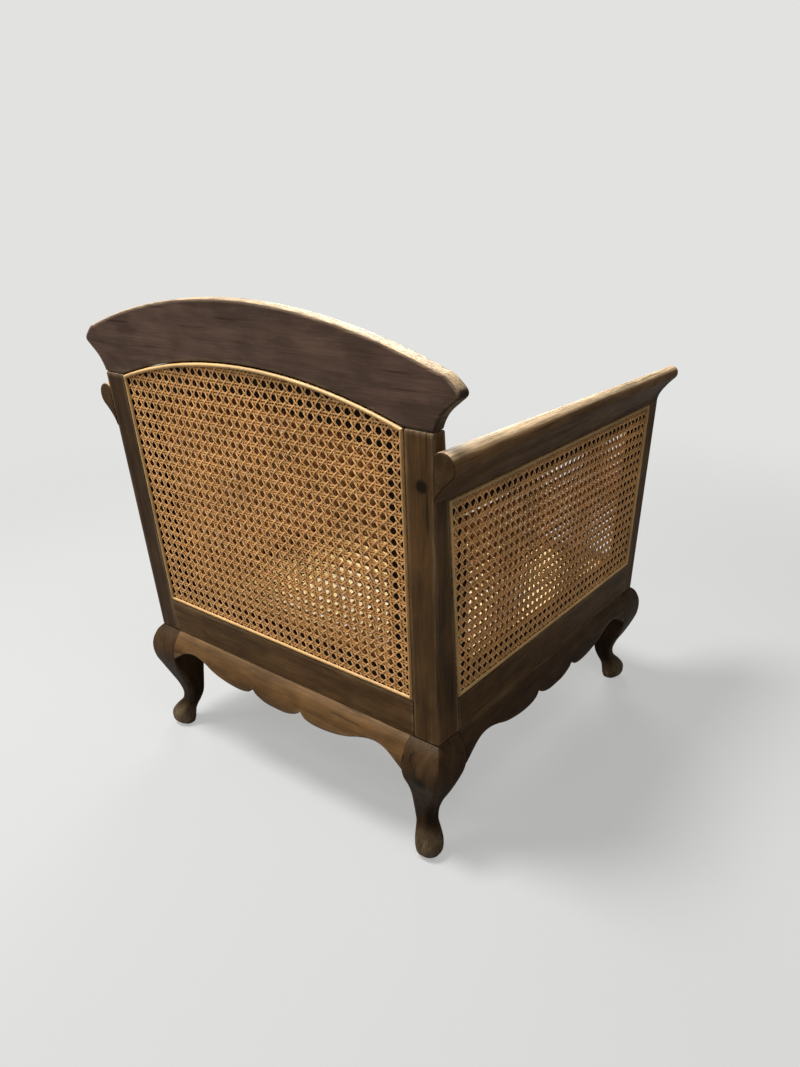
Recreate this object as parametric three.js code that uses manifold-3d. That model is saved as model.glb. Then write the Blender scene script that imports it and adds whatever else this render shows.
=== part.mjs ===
// Caned armchair. A swelling base of four cabriole legs and scalloped aprons carries a box of
// posts and rails; an arched crest joins the rear posts, and a scrolled rail caps each side.
// The back and both sides hold a panel frame caned on both faces, and the seat is a caned
// drop-in frame. Millimetres, +Z up, origin on the floor, front towards -Y, the sitter's left
// at +X.
import * as THREE from 'three';
import { mergeVertices } from 'three/addons/utils/BufferGeometryUtils.js';
import Module from 'manifold-3d';

const wasm = await Module();
wasm.setup();

// Overall sizes
const chair_width = 600;
const chair_depth = 620;
const base_height = 203;
const clearance = 0.3;
const overrun = 20;

// Base: legs, aprons and corner blocks
const leg_block = 48;
const side_swell = 15;
const end_swell = 23;
const foot_reach = 13.5;
const foot_shift = 8;
const side_apron_height = 52;
const end_apron_height = 47;
const apron_inset = 24;
const corner_block_height = 24;
const corner_block_width = 32;
const corner_block_drop = 2;

// Upper frame
const back_rake = 1.6;
const post_rake = 5.4;
const rear_post_width = 41.4;
const rear_post_depth = 50.5;
const rear_post_rise = 82.9;
const front_post_width = 30;
const front_post_thickness = 38;
const rail_thickness = 24;
const back_rail_height = 59.5;
const side_rail_height = 56;
const side_opening_height = 289.5;
const front_rail_height = 56;
const front_rail_setback = 3;

// Crest
const crest_thickness = 20;
const crest_rise = 114.1;
const panel_arch_rise = 39;
const ear_reach = 33.3;
const ear_height = 64.6;

// Arms
const scroll_radius = 17.5;
const scroll_front_share = 0.6;
const scroll_rise = 46.5;
const scroll_fall = 7;
const scroll_overhang = 28;
const scroll_joint_drop = 12;
const arm_cove_height = 30;

// Joinery
const tenon_length = 18;
const tenon_thickness = 9;
const tenon_shoulder = 10;
const peg_width = 18;
const peg_depth = 7;

// Caned panels
const panel_thickness_back = 20;
const panel_thickness_side = 16;
const stile_width = 35;
const back_top_width = 45;
const back_bottom_width = 22;
const side_top_width = 30;
const side_bottom_width = 18;
const cane_thickness = 1.6;
const cane_margin = 1.5;
const net_pitch = 52;
const net_strand = 17;
const reed_width = 6.5;
const reed_height = 3;
const panel_recess = 1.9;

// Seat
const seat_frame_thickness = 20;
const seat_frame_drop = 3;
const seat_stile_width = 46;
const seat_cane_inset = 14;
const cleat_height = 14;
const cleat_width = 18;
const cleat_end_gap = 40;

// Leg profile, from the top of the base to the floor. Shares of the base height, of the knee
// swell, of the foot reach, of the leg block and of the foot shift. Then the roundness of the
// corners as shares of the section: of the open ones, and of the two that the aprons run into.
const leg_profile_shares = [
  [1.000, 0.00, 0.00, 1.000, 0.00, 0.05, 0.02],
  [0.975, 0.30, 0.00, 1.000, 0.00, 0.05, 0.02],
  [0.920, 0.66, 0.00, 1.000, 0.00, 0.06, 0.02],
  [0.850, 0.92, 0.00, 1.000, 0.00, 0.08, 0.02],
  [0.775, 1.00, 0.00, 1.000, 0.00, 0.11, 0.02],
  [0.705, 0.93, 0.00, 0.970, 0.03, 0.14, 0.06],
  [0.630, 0.68, 0.00, 0.930, 0.12, 0.18, 0.14],
  [0.520, 0.24, 0.00, 0.890, 0.45, 0.23, 0.22],
  [0.415, 0.00, -0.28, 0.855, 0.85, 0.28, 0.28],
  [0.305, 0.00, -0.54, 0.790, 1.00, 0.32, 0.32],
  [0.245, 0.00, -0.31, 0.710, 1.00, 0.35, 0.35],
  [0.190, 0.00, 0.40, 0.630, 1.00, 0.38, 0.38],
  [0.135, 0.00, 0.92, 0.570, 1.00, 0.40, 0.40],
  [0.085, 0.00, 1.00, 0.540, 1.00, 0.41, 0.41],
  [0.032, 0.00, 0.78, 0.500, 1.00, 0.42, 0.42],
  [0.000, 0.00, 0.16, 0.440, 1.00, 0.44, 0.44],
];

// Half of an apron's lower edge, from its middle to the leg: shares of its half length and of
// its height. Two lobes meet in a cusp, and the outer one runs out into an arch by the leg.
const apron_edge_shares = [
  [0.000, 1.000], [0.080, 0.985], [0.143, 0.900], [0.187, 0.790], [0.212, 0.680],
  [0.236, 0.810], [0.278, 0.900], [0.338, 0.940], [0.405, 0.930], [0.497, 0.870],
  [0.596, 0.750], [0.675, 0.605], [0.755, 0.510], [0.826, 0.510], [0.894, 0.610],
  [0.946, 0.765], [1.000, 0.975],
];

// Outer edge of an ear of the crest, from the top of the post round the nose to the arched top:
// shares of the ear's reach and of its height
const ear_edge_shares = [
  [0.000, 0.000], [0.050, 0.080], [0.110, 0.153], [0.190, 0.226], [0.290, 0.300],
  [0.450, 0.387], [0.626, 0.463], [0.774, 0.525], [0.920, 0.588], [0.980, 0.625],
  [1.000, 0.673], [0.967, 0.724], [0.873, 0.780], [0.705, 0.856], [0.533, 0.922],
  [0.390, 0.965], [0.150, 1.000],
];

const half_width = chair_width / 2;
const half_depth = chair_depth / 2;
const back_lean = Math.tan(THREE.MathUtils.degToRad(back_rake));
const post_lean = Math.tan(THREE.MathUtils.degToRad(post_rake));
const frame_foot = base_height + clearance;
const back_opening_half = half_width - rear_post_width;
const back_opening_foot = base_height + back_rail_height;
const side_opening_foot = base_height + side_rail_height;
const arm_underside = side_opening_foot + side_opening_height;
const scroll_height = arm_underside + scroll_rise;
const post_top = arm_underside + rear_post_rise;
const crest_apex = post_top + crest_rise;
const side_opening_front = -half_depth + front_post_width;

function rearFaceY(z) {
  return half_depth + (z - base_height) * back_lean;
}

function postFrontY(z) {
  return half_depth - rear_post_depth + (z - base_height) * post_lean;
}

// Geometry helpers
function reversed(geometry) {
  const index = geometry.index.array;
  for (let i = 0; i < index.length; i += 3) {
    [index[i], index[i + 1]] = [index[i + 1], index[i]];
  }
  return geometry;
}

function closedMesh(geometry, matrix = new THREE.Matrix4()) {
  const bare = new THREE.BufferGeometry();
  bare.setAttribute('position', geometry.getAttribute('position').clone());
  if (geometry.index) bare.setIndex(geometry.index.clone());
  const merged = mergeVertices(bare);
  merged.applyMatrix4(matrix);
  return matrix.determinant() < 0 ? reversed(merged) : merged;
}

function solid(geometry, matrix) {
  const mesh = closedMesh(geometry, matrix);
  return new wasm.Manifold(new wasm.Mesh({
    numProp: 3,
    vertProperties: new Float32Array(mesh.getAttribute('position').array),
    triVerts: new Uint32Array(mesh.index.array),
  }));
}

function geometryOf(manifold) {
  const mesh = manifold.getMesh();
  const geometry = new THREE.BufferGeometry();
  geometry.setAttribute('position', new THREE.BufferAttribute(mesh.vertProperties, 3));
  geometry.setIndex(new THREE.BufferAttribute(mesh.triVerts, 1));
  return geometry;
}

// A box between two corners
function box(low, high) {
  const size = new THREE.Vector3().subVectors(high, low);
  const middle = new THREE.Vector3().addVectors(low, high).multiplyScalar(1 / 2);
  const geometry = new THREE.BoxGeometry(size.x, size.y, size.z);
  return solid(geometry, new THREE.Matrix4().setPosition(middle));
}

// A flat outline pushed out along w, from w0 to w1, then carried to its place by a matrix
function slab(outline, w0, w1, matrix) {
  const shape = new THREE.Shape(outline);
  const geometry = new THREE.ExtrudeGeometry(shape, { depth: w1 - w0, bevelEnabled: false });
  geometry.translate(0, 0, w0);
  return solid(geometry, matrix);
}

// Rings of equal count joined in turn. An open loft gets flat ends, and a closed one returns
// to its first ring.
function loft(rings, closed = false) {
  const count = rings[0].length;
  const positions = rings.flat().flatMap((p) => [p.x, p.y, p.z]);
  const faces = [];
  const last = closed ? rings.length : rings.length - 1;
  for (let i = 0; i < last; i++) {
    const a = i * count;
    const b = ((i + 1) % rings.length) * count;
    for (let k = 0; k < count; k++) {
      const n = (k + 1) % count;
      faces.push(a + k, a + n, b + n, a + k, b + n, b + k);
    }
  }
  if (!closed) {
    const flat = (ring) => {
      const normal = new THREE.Vector3();
      ring.forEach((p, k) => normal.add(new THREE.Vector3().crossVectors(p, ring[(k + 1) % count])));
      const u = new THREE.Vector3().subVectors(ring[1], ring[0]).normalize();
      const v = new THREE.Vector3().crossVectors(normal, u).normalize();
      return THREE.ShapeUtils.triangulateShape(
        ring.map((p) => new THREE.Vector2(p.dot(u), p.dot(v))), []);
    };
    const end = (rings.length - 1) * count;
    flat(rings[0]).forEach(([p, q, r]) => faces.push(r, q, p));
    flat(rings[rings.length - 1]).forEach(([p, q, r]) => faces.push(end + p, end + q, end + r));
  }
  const geometry = new THREE.BufferGeometry();
  geometry.setAttribute('position', new THREE.Float32BufferAttribute(positions, 3));
  geometry.setIndex(faces);
  return geometry;
}

// An outline moved inwards by a distance with mitred corners. It runs anticlockwise.
function inset(outline, distance) {
  return outline.map((p, i) => {
    const before = outline[(i + outline.length - 1) % outline.length];
    const after = outline[(i + 1) % outline.length];
    const d1 = new THREE.Vector2().subVectors(p, before).normalize();
    const d2 = new THREE.Vector2().subVectors(after, p).normalize();
    const n1 = new THREE.Vector2(-d1.y, d1.x);
    const n2 = new THREE.Vector2(-d2.y, d2.x);
    const reach = distance / (1 + n1.dot(n2));
    return new THREE.Vector2(p.x + (n1.x + n2.x) * reach, p.y + (n1.y + n2.y) * reach);
  });
}

// Carriers from a flat (u, v, w) outline to its place. Sides: u runs to the back, v up and w
// outwards. Back: u runs to the sitter's left, v up and w to the rear, leaning with the back.
const mirror = new THREE.Matrix4().makeScale(-1, 1, 1);
const left_side = new THREE.Matrix4().makeBasis(
  new THREE.Vector3(0, 1, 0), new THREE.Vector3(0, 0, 1), new THREE.Vector3(1, 0, 0))
  .setPosition(half_width, 0, 0);
const back_face = new THREE.Matrix4().makeBasis(
  new THREE.Vector3(1, 0, 0), new THREE.Vector3(0, back_lean, 1), new THREE.Vector3(0, 1, 0))
  .setPosition(0, half_depth - base_height * back_lean, 0);
const flat_seat = new THREE.Matrix4();

// Finishes
const wood = { color: 0x5a4636, roughness: 0.62, metalness: 0 };
const hidden_wood = { color: 0x4a3a2d, roughness: 0.75, metalness: 0 };
const cane = { color: 0xc89a5c, roughness: 0.6, metalness: 0 };
const reed = { color: 0xd9b070, roughness: 0.5, metalness: 0 };

const armchair = new THREE.Group();

function addPiece(group, name, shape, finish) {
  const geometry = shape.isBufferGeometry ? shape : geometryOf(shape);
  geometry.computeBoundingBox();
  const middle = geometry.boundingBox.getCenter(new THREE.Vector3());
  geometry.translate(-middle.x, -middle.y, -middle.z);
  const flat = geometry.toNonIndexed();
  flat.computeVertexNormals();
  const mesh = new THREE.Mesh(flat, new THREE.MeshStandardMaterial(finish));
  mesh.name = name;
  mesh.position.copy(middle);
  group.add(mesh);
}

function addPair(groups, name, shape, finish) {
  addPiece(groups[0], `${name}_left`, shape, finish);
  addPiece(groups[1], `${name}_right`, moved(shape, mirror), finish);
}

function moved(shape, matrix) {
  return solid(geometryOf(shape), matrix);
}

// Base. The aprons follow the same swell as the knees, so that legs and aprons run flush.
function swellShare(height) {
  const share = height / base_height;
  const rows = leg_profile_shares;
  const i = Math.max(1, rows.findIndex((row) => row[0] <= share));
  const t = (rows[i - 1][0] - share) / (rows[i - 1][0] - rows[i][0]);
  return THREE.MathUtils.lerp(rows[i - 1][1], rows[i][1], t);
}

// A leg's section: a square with its corners rounded off, given by its outer and inner faces
function legRing(row) {
  const [height, knee, foot, depth, shift, open_round, joint_round] = row;
  const move = foot_shift * shift;
  const reach = foot_reach * foot;
  const x1 = half_width + side_swell * knee + reach - move;
  const x0 = half_width - leg_block * depth - move;
  const y1 = half_depth + end_swell * knee + reach + move;
  const y0 = half_depth - leg_block * depth + move;
  const section = Math.min(x1 - x0, y1 - y0);
  const corners = [[x1, y1, 0], [x0, y1, 1], [x0, y0, 2], [x1, y0, 3]];
  const steps = 4;
  const ring = [];
  for (const [x, y, turn] of corners) {
    const radius = section * (turn % 2 === 0 ? open_round : joint_round);
    const cx = x === x1 ? x - radius : x + radius;
    const cy = y === y1 ? y - radius : y + radius;
    for (let k = 0; k <= steps; k++) {
      const angle = (turn + k / steps) * Math.PI / 2;
      ring.push(new THREE.Vector3(
        cx + radius * Math.cos(angle), cy + radius * Math.sin(angle), height * base_height));
    }
  }
  return ring;
}

function legSolid() {
  const rings = leg_profile_shares.slice().reverse().map(legRing);
  return solid(loft(rings));
}

// An apron, made for the rear: its outer face swells as the knees do
function apronSolid(half_length, height, face, swell) {
  const rows = [
    ...apron_edge_shares.slice(1).reverse().map(([u, v]) => [-u, v]),
    ...apron_edge_shares,
  ];
  const face_steps = 6;
  const rings = rows.map(([u, v]) => {
    const x = u * half_length;
    const drop = v * height;
    const ring = [];
    for (let k = face_steps; k >= 0; k--) {
      const z = base_height - drop * (k / face_steps);
      ring.push(new THREE.Vector3(x, face + swell * swellShare(z), z));
    }
    ring.push(new THREE.Vector3(x, face - apron_inset, base_height));
    ring.push(new THREE.Vector3(x, face - apron_inset, base_height - drop));
    return ring;
  });
  return solid(loft(rings));
}

const pieces = {};

// A tenon joins one piece and enters the other with a clearance all round. A piece that spans
// both sides gets the tenon at both ends.
function joinTenon(rail, post, low, high, both_ends = false) {
  const tenon = box(low, high);
  const margin = new THREE.Vector3(clearance, clearance, clearance);
  pieces[rail] = pieces[rail].add(tenon);
  if (both_ends) pieces[rail] = pieces[rail].add(moved(tenon, mirror));
  pieces[post] = pieces[post].subtract(box(low.clone().sub(margin), high.clone().add(margin)));
}

const quarter = new THREE.Matrix4().makeRotationZ(-Math.PI / 2);
pieces.leg = legSolid();
pieces.end_apron = apronSolid(
  half_width - leg_block - clearance, end_apron_height, half_depth, end_swell);
pieces.side_apron = moved(apronSolid(
  half_depth - leg_block - clearance, side_apron_height, half_width, side_swell), quarter);

// Upper frame: rear post
const rear_post_outline = [
  new THREE.Vector2(postFrontY(frame_foot), frame_foot),
  new THREE.Vector2(rearFaceY(frame_foot), frame_foot),
  new THREE.Vector2(rearFaceY(post_top - clearance), post_top - clearance),
  new THREE.Vector2(postFrontY(post_top - clearance), post_top - clearance),
];
pieces.rear_post = slab(rear_post_outline, -rear_post_width, 0, left_side);

// Back bottom rail, flush with the posts' rear faces
const back_rail_outline = [
  new THREE.Vector2(-back_opening_half + clearance, frame_foot),
  new THREE.Vector2(back_opening_half - clearance, frame_foot),
  new THREE.Vector2(back_opening_half - clearance, back_opening_foot),
  new THREE.Vector2(-back_opening_half + clearance, back_opening_foot),
];
pieces.back_rail = slab(back_rail_outline, -rail_thickness, 0, back_face);

// The side bottom rail ends on the raked front face of the rear post
const side_rail_outline = [
  new THREE.Vector2(side_opening_front + clearance, frame_foot),
  new THREE.Vector2(postFrontY(frame_foot) - clearance, frame_foot),
  new THREE.Vector2(postFrontY(side_opening_foot) - clearance, side_opening_foot),
  new THREE.Vector2(side_opening_front + clearance, side_opening_foot),
];
pieces.side_rail = slab(side_rail_outline, -rail_thickness, 0, left_side);

// Front seat rail between the front posts
const front_rail_y = -half_depth + front_rail_setback;
const front_post_inner = half_width - front_post_thickness;
pieces.front_rail = box(
  new THREE.Vector3(-front_post_inner + clearance, front_rail_y, frame_foot),
  new THREE.Vector3(front_post_inner - clearance, front_rail_y + rail_thickness,
    base_height + front_rail_height));

const arm_front = -half_depth;
const arm_rear = rearFaceY(scroll_height);
const arm_joint = scroll_height - scroll_joint_drop;

// Arm profile at one place along the arm, seen from the front: a cove rises from the side's
// face into a round scroll, whose inner side falls back to the inner face of the rail. To the
// front the scroll grows thinner and its top falls a little, while its nose runs straight.
function armProfile(y) {
  const along = (arm_rear - y) / (arm_rear - arm_front);
  const radius = scroll_radius * THREE.MathUtils.lerp(1, scroll_front_share, along);
  const scroll_x = half_width + scroll_overhang - radius;
  const centre_z = scroll_height + scroll_radius - scroll_fall * along - radius;
  const inner_x = half_width - front_post_thickness;
  const from = -Math.PI / 4;
  const to = Math.PI * 3 / 4;
  const shape = new THREE.Shape();
  shape.moveTo(inner_x, arm_underside + clearance);
  shape.lineTo(half_width, arm_underside + clearance);
  const join_x = scroll_x + radius * Math.cos(from);
  const join_z = centre_z + radius * Math.sin(from);
  shape.quadraticCurveTo(half_width, arm_underside + arm_cove_height / 2, join_x, join_z);
  shape.absarc(scroll_x, centre_z, radius, from, to, false);
  shape.quadraticCurveTo(
    inner_x, arm_underside + arm_cove_height, inner_x, arm_underside + clearance);
  return shape.extractPoints(7).shape.slice(0, -1);
}

// The arm's profile between two places along it
function profileSolid(y0, y1) {
  const ring = (y) => armProfile(y).map((p) => new THREE.Vector3(p.x, y, p.y));
  return solid(loft([ring(y1), ring(y0)]));
}

// Front post: square below, and under the arm it takes the arm's own profile up to the scroll
const front_post_top = box(
  new THREE.Vector3(0, arm_front - overrun, arm_underside),
  new THREE.Vector3(chair_width, side_opening_front + overrun, arm_joint));
pieces.front_post = box(
  new THREE.Vector3(front_post_inner, arm_front, frame_foot),
  new THREE.Vector3(half_width, side_opening_front, arm_underside + clearance))
  .add(profileSolid(arm_front, side_opening_front).intersect(front_post_top));

// Arm: the whole profile between the posts, the scroll over the front post, and the outer half
// of the scroll past the rear post
const rear_post_room = slab([
  new THREE.Vector2(postFrontY(arm_underside) - clearance, arm_underside),
  new THREE.Vector2(arm_rear + overrun, arm_underside),
  new THREE.Vector2(arm_rear + overrun, post_top),
  new THREE.Vector2(postFrontY(post_top) - clearance, post_top),
], -rear_post_width - overrun, clearance, left_side);
const front_post_room = box(
  new THREE.Vector3(0, arm_front - overrun, arm_underside - overrun),
  new THREE.Vector3(chair_width, side_opening_front + clearance, arm_joint + clearance));
pieces.arm = profileSolid(arm_front, arm_rear).subtract(rear_post_room).subtract(front_post_room);

// Crest: arched board with drawn-out ears. It stands on the posts and arches over the panel.
function archPoints(half, foot, rise, steps) {
  const radius = (half * half + rise * rise) / (2 * rise);
  const sweep = Math.asin(half / radius);
  const points = [];
  for (let k = 0; k <= steps; k++) {
    const angle = sweep - (2 * sweep * k) / steps;
    points.push(new THREE.Vector2(
      radius * Math.sin(angle), foot + rise - radius + radius * Math.cos(angle)));
  }
  return points;
}

function crestOutline() {
  const arch_steps = 18;
  const ear_steps = 30;
  const ear = new THREE.SplineCurve(ear_edge_shares.map(([reach, height]) => new THREE.Vector2(
    half_width + ear_reach * reach, post_top + ear_height * height))).getPoints(ear_steps);
  const shoulder = ear[ear.length - 1];
  const top = archPoints(
    shoulder.x, shoulder.y, crest_apex - shoulder.y, arch_steps).slice(1, -1);
  const other = ear.map((p) => new THREE.Vector2(-p.x, p.y)).reverse();
  const under = archPoints(back_opening_half, post_top, panel_arch_rise, arch_steps).reverse();
  return [...ear, ...top, ...other, ...under];
}
pieces.crest = slab(crestOutline(), -crest_thickness, 0, back_face);

// Mortise and tenon joints, placed from the sizes of the two pieces that meet. Each box starts
// a shoulder's length inside the piece that carries the tenon.
function vector(x, y, z) {
  return new THREE.Vector3(x, y, z);
}

const tenon_half = tenon_thickness / 2;
const peg_half = peg_width / 2;
const rail_middle = rail_thickness / 2;
const apron_tenon_top = base_height - tenon_shoulder;
const apron_tenon_foot = base_height - end_apron_height / 2;
const end_apron_y = half_depth - apron_inset / 2;
const side_apron_x = half_width - apron_inset / 2;
const leg_inner_x = half_width - leg_block;
const leg_inner_y = half_depth - leg_block;
joinTenon('end_apron', 'leg',
  vector(leg_inner_x - tenon_shoulder, end_apron_y - tenon_half, apron_tenon_foot),
  vector(leg_inner_x + tenon_length, end_apron_y + tenon_half, apron_tenon_top), true);
const to_front = new THREE.Matrix4().makeScale(1, -1, 1);
const side_tenon = [
  vector(side_apron_x - tenon_half, leg_inner_y - tenon_shoulder, apron_tenon_foot),
  vector(side_apron_x + tenon_half, leg_inner_y + tenon_length, apron_tenon_top),
];
joinTenon('side_apron', 'leg', ...side_tenon);
pieces.side_apron = pieces.side_apron.add(moved(box(...side_tenon), to_front));

pieces.rear_leg = pieces.leg;
pieces.front_leg = moved(pieces.leg, to_front);
const rear_peg_x = half_width - rear_post_width / 2;
const rear_peg_y = half_depth - rear_post_depth / 2;
joinTenon('rear_post', 'rear_leg',
  vector(rear_peg_x - peg_half, rear_peg_y - peg_half, base_height - peg_depth),
  vector(rear_peg_x + peg_half, rear_peg_y + peg_half, frame_foot + tenon_shoulder));
const front_peg_x = half_width - front_post_thickness / 2;
const front_peg_y = arm_front + front_post_width / 2;
joinTenon('front_post', 'front_leg',
  vector(front_peg_x - peg_half, front_peg_y - peg_half, base_height - peg_depth),
  vector(front_peg_x + peg_half, front_peg_y + peg_half, frame_foot + tenon_shoulder));

const back_rail_y = half_depth - rail_middle;
joinTenon('back_rail', 'rear_post',
  vector(back_opening_half - tenon_shoulder, back_rail_y - tenon_half, frame_foot + tenon_shoulder),
  vector(back_opening_half + tenon_length, back_rail_y + tenon_half,
    back_opening_foot - tenon_shoulder), true);
const side_rail_x = half_width - rail_middle;
const side_rail_low = frame_foot + tenon_shoulder;
const side_rail_high = side_opening_foot - tenon_shoulder;
joinTenon('side_rail', 'rear_post',
  vector(side_rail_x - tenon_half, postFrontY(side_rail_low) - tenon_shoulder, side_rail_low),
  vector(side_rail_x + tenon_half, postFrontY(side_rail_low) + tenon_length, side_rail_high));
joinTenon('side_rail', 'front_post',
  vector(side_rail_x - tenon_half, side_opening_front - tenon_length, side_rail_low),
  vector(side_rail_x + tenon_half, side_opening_front + tenon_shoulder, side_rail_high));
const front_rail_middle = front_rail_y + rail_middle;
joinTenon('front_rail', 'front_post',
  vector(front_post_inner - tenon_shoulder, front_rail_middle - tenon_half, side_rail_low),
  vector(front_post_inner + tenon_length, front_rail_middle + tenon_half,
    base_height + front_rail_height - tenon_shoulder), true);

const crest_peg_y = rearFaceY(post_top) - crest_thickness / 2;
joinTenon('rear_post', 'crest',
  vector(rear_peg_x - peg_half, crest_peg_y - tenon_half, post_top - tenon_shoulder),
  vector(rear_peg_x + peg_half, crest_peg_y + tenon_half, post_top + tenon_length));
pieces.crest = pieces.crest.subtract(moved(
  box(vector(rear_peg_x - peg_half - clearance, crest_peg_y - tenon_half - clearance,
    post_top - tenon_shoulder),
  vector(rear_peg_x + peg_half + clearance, crest_peg_y + tenon_half + clearance,
    post_top + tenon_length + clearance)), mirror));
const arm_tenon_x = half_width - front_post_thickness / 2;
const arm_tenon_z = arm_underside + tenon_shoulder;
joinTenon('arm', 'rear_post',
  vector(arm_tenon_x - tenon_half, postFrontY(arm_tenon_z) - tenon_shoulder, arm_tenon_z),
  vector(arm_tenon_x + tenon_half, postFrontY(arm_tenon_z) + tenon_length * 2 / 3,
    arm_tenon_z + peg_width));
const scroll_peg_x = half_width + tenon_half;
joinTenon('front_post', 'arm',
  vector(scroll_peg_x - tenon_half, front_peg_y - tenon_half, arm_joint - tenon_shoulder),
  vector(scroll_peg_x + tenon_half, front_peg_y + tenon_half, arm_joint + tenon_length / 2));

// A block glued across each corner of the base, just inside the leg
function cornerBlock() {
  const side = half_width - apron_inset - clearance;
  const end = half_depth - apron_inset - clearance;
  const outer = leg_inner_x + leg_inner_y - clearance * 2;
  const inner = outer - corner_block_width * Math.SQRT2;
  const top = base_height - corner_block_drop;
  return slab([
    new THREE.Vector2(side, inner - side), new THREE.Vector2(side, outer - side),
    new THREE.Vector2(outer - end, end), new THREE.Vector2(inner - end, end),
  ], top - corner_block_height, top, flat_seat);
}

// Caned panels. Outlines run anticlockwise in (u, v) from the low corner, and are narrowed by
// the width that each member takes.
function backOutline(side, foot, top) {
  const half = back_opening_half - clearance - side;
  const radius = (back_opening_half ** 2 + panel_arch_rise ** 2) / (2 * panel_arch_rise);
  const centre = post_top + panel_arch_rise - radius;
  const inner_radius = radius - clearance - top;
  const foot_v = back_opening_foot + clearance + foot;
  const shoulder = centre + Math.sqrt(inner_radius ** 2 - half ** 2);
  const arch = archPoints(half, shoulder, centre + inner_radius - shoulder, 10);
  return [new THREE.Vector2(-half, foot_v), new THREE.Vector2(half, foot_v), ...arch];
}

function sideOutline(side, foot, top) {
  const front = side_opening_front + clearance + side;
  const foot_v = side_opening_foot + clearance + foot;
  const top_v = arm_underside - top;
  const rear = (v) => postFrontY(v) - clearance - side;
  return [new THREE.Vector2(front, foot_v), new THREE.Vector2(rear(foot_v), foot_v),
    new THREE.Vector2(rear(top_v), top_v), new THREE.Vector2(front, top_v)];
}

// The band outside an outline's edge, from point i to point j, which a stile takes
function besideEdge(outline, i, j, width, gap) {
  const along = new THREE.Vector2().subVectors(outline[j], outline[i]).normalize();
  const out = new THREE.Vector2(along.y, -along.x);
  const point = (p, a, o) => new THREE.Vector2(
    p.x + along.x * a + out.x * o, p.y + along.y * a + out.y * o);
  return [point(outline[i], -width, -gap), point(outline[i], -width, width),
    point(outline[j], width, width), point(outline[j], width, -gap)];
}

// A panel frame of two stiles and two rails between them
function panelFrame(outer, inner, w0, w1, matrix) {
  const wide = stile_width * 2;
  const low = w0 - overrun;
  const high = w1 + overrun;
  const last = inner.length - 1;
  const ring = slab(outer, w0, w1, matrix).subtract(slab(inner, low, high, matrix));
  const cut = (i, j, gap) => slab(besideEdge(inner, i, j, wide, gap), low, high, matrix);
  const rails = ring.subtract(cut(1, 2, clearance)).subtract(cut(last, 0, clearance));
  const middle = (inner[0].y + inner[last].y) / 2;
  const half = slab([
    new THREE.Vector2(inner[0].x - wide, inner[0].y - wide),
    new THREE.Vector2(inner[1].x + wide, inner[0].y - wide),
    new THREE.Vector2(inner[1].x + wide, middle),
    new THREE.Vector2(inner[0].x - wide, middle)], low, high, matrix);
  return {
    far: ring.intersect(cut(1, 2, 0)),
    near: ring.intersect(cut(last, 0, 0)),
    low: rails.intersect(half),
    high: rails.subtract(half),
  };
}

function inside(outline, x, y) {
  let odd = false;
  outline.forEach((p, i) => {
    const q = outline[(i + 1) % outline.length];
    if ((p.y > y) !== (q.y > y) && x < p.x + ((q.x - p.x) * (y - p.y)) / (q.y - p.y)) odd = !odd;
  });
  return odd;
}

// A cane sheet: an open net of square gaps inside a plain border
function caneSheet(outline, w0, w1, matrix) {
  const us = outline.map((p) => p.x);
  const vs = outline.map((p) => p.y);
  const border = inset(outline, net_strand / 2);
  const gap = (net_pitch - net_strand) / 2;
  const centres = (low, high) => {
    const count = Math.max(1, Math.floor((high - low - net_strand) / net_pitch));
    const middle = (low + high) / 2;
    return Array.from({ length: count }, (_, i) => middle + (i - (count - 1) / 2) * net_pitch);
  };
  let sheet = slab(outline, w0, w1, matrix);
  for (const v of centres(Math.min(...vs), Math.max(...vs))) {
    for (const u of centres(Math.min(...us), Math.max(...us))) {
      const hole = [[-gap, -gap], [gap, -gap], [gap, gap], [-gap, gap]]
        .map(([a, b]) => new THREE.Vector2(u + a, v + b));
      if (!hole.every((p) => inside(border, p.x, p.y))) continue;
      sheet = sheet.subtract(slab(hole, w0 - overrun, w1 + overrun, matrix));
    }
  }
  return sheet;
}

// A half-round reed laid along an outline, as a closed loop or from point i to point j
const reed_section_shares = [[0, 0], [1, 0], [1, 0.5], [0.75, 1], [0.25, 1], [0, 0.5]];

function reedBead(outline, w0, direction, matrix, i = 0, j = 0) {
  const closed = i === j;
  const lines = reed_section_shares.map(([across]) => inset(outline, across * reed_width));
  const steps = closed ? outline.length : (j - i + outline.length) % outline.length + 1;
  const rings = Array.from({ length: steps }, (_, n) => lines.map((line, k) => {
    const p = line[(i + n) % outline.length];
    const rise = direction * reed_section_shares[k][1] * reed_height;
    let shift = new THREE.Vector2();
    if (!closed && (n === 0 || n === steps - 1)) {
      const q = outline[(i + (n === 0 ? 1 : steps - 2)) % outline.length];
      const end = outline[(i + n) % outline.length];
      shift = new THREE.Vector2().subVectors(q, end).setLength(clearance / 2);
    }
    return new THREE.Vector3(p.x + shift.x, p.y + shift.y, w0 + rise);
  }));
  const geometry = loft(rings, closed);
  return solid(direction < 0 ? reversed(geometry) : geometry, matrix);
}

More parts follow.
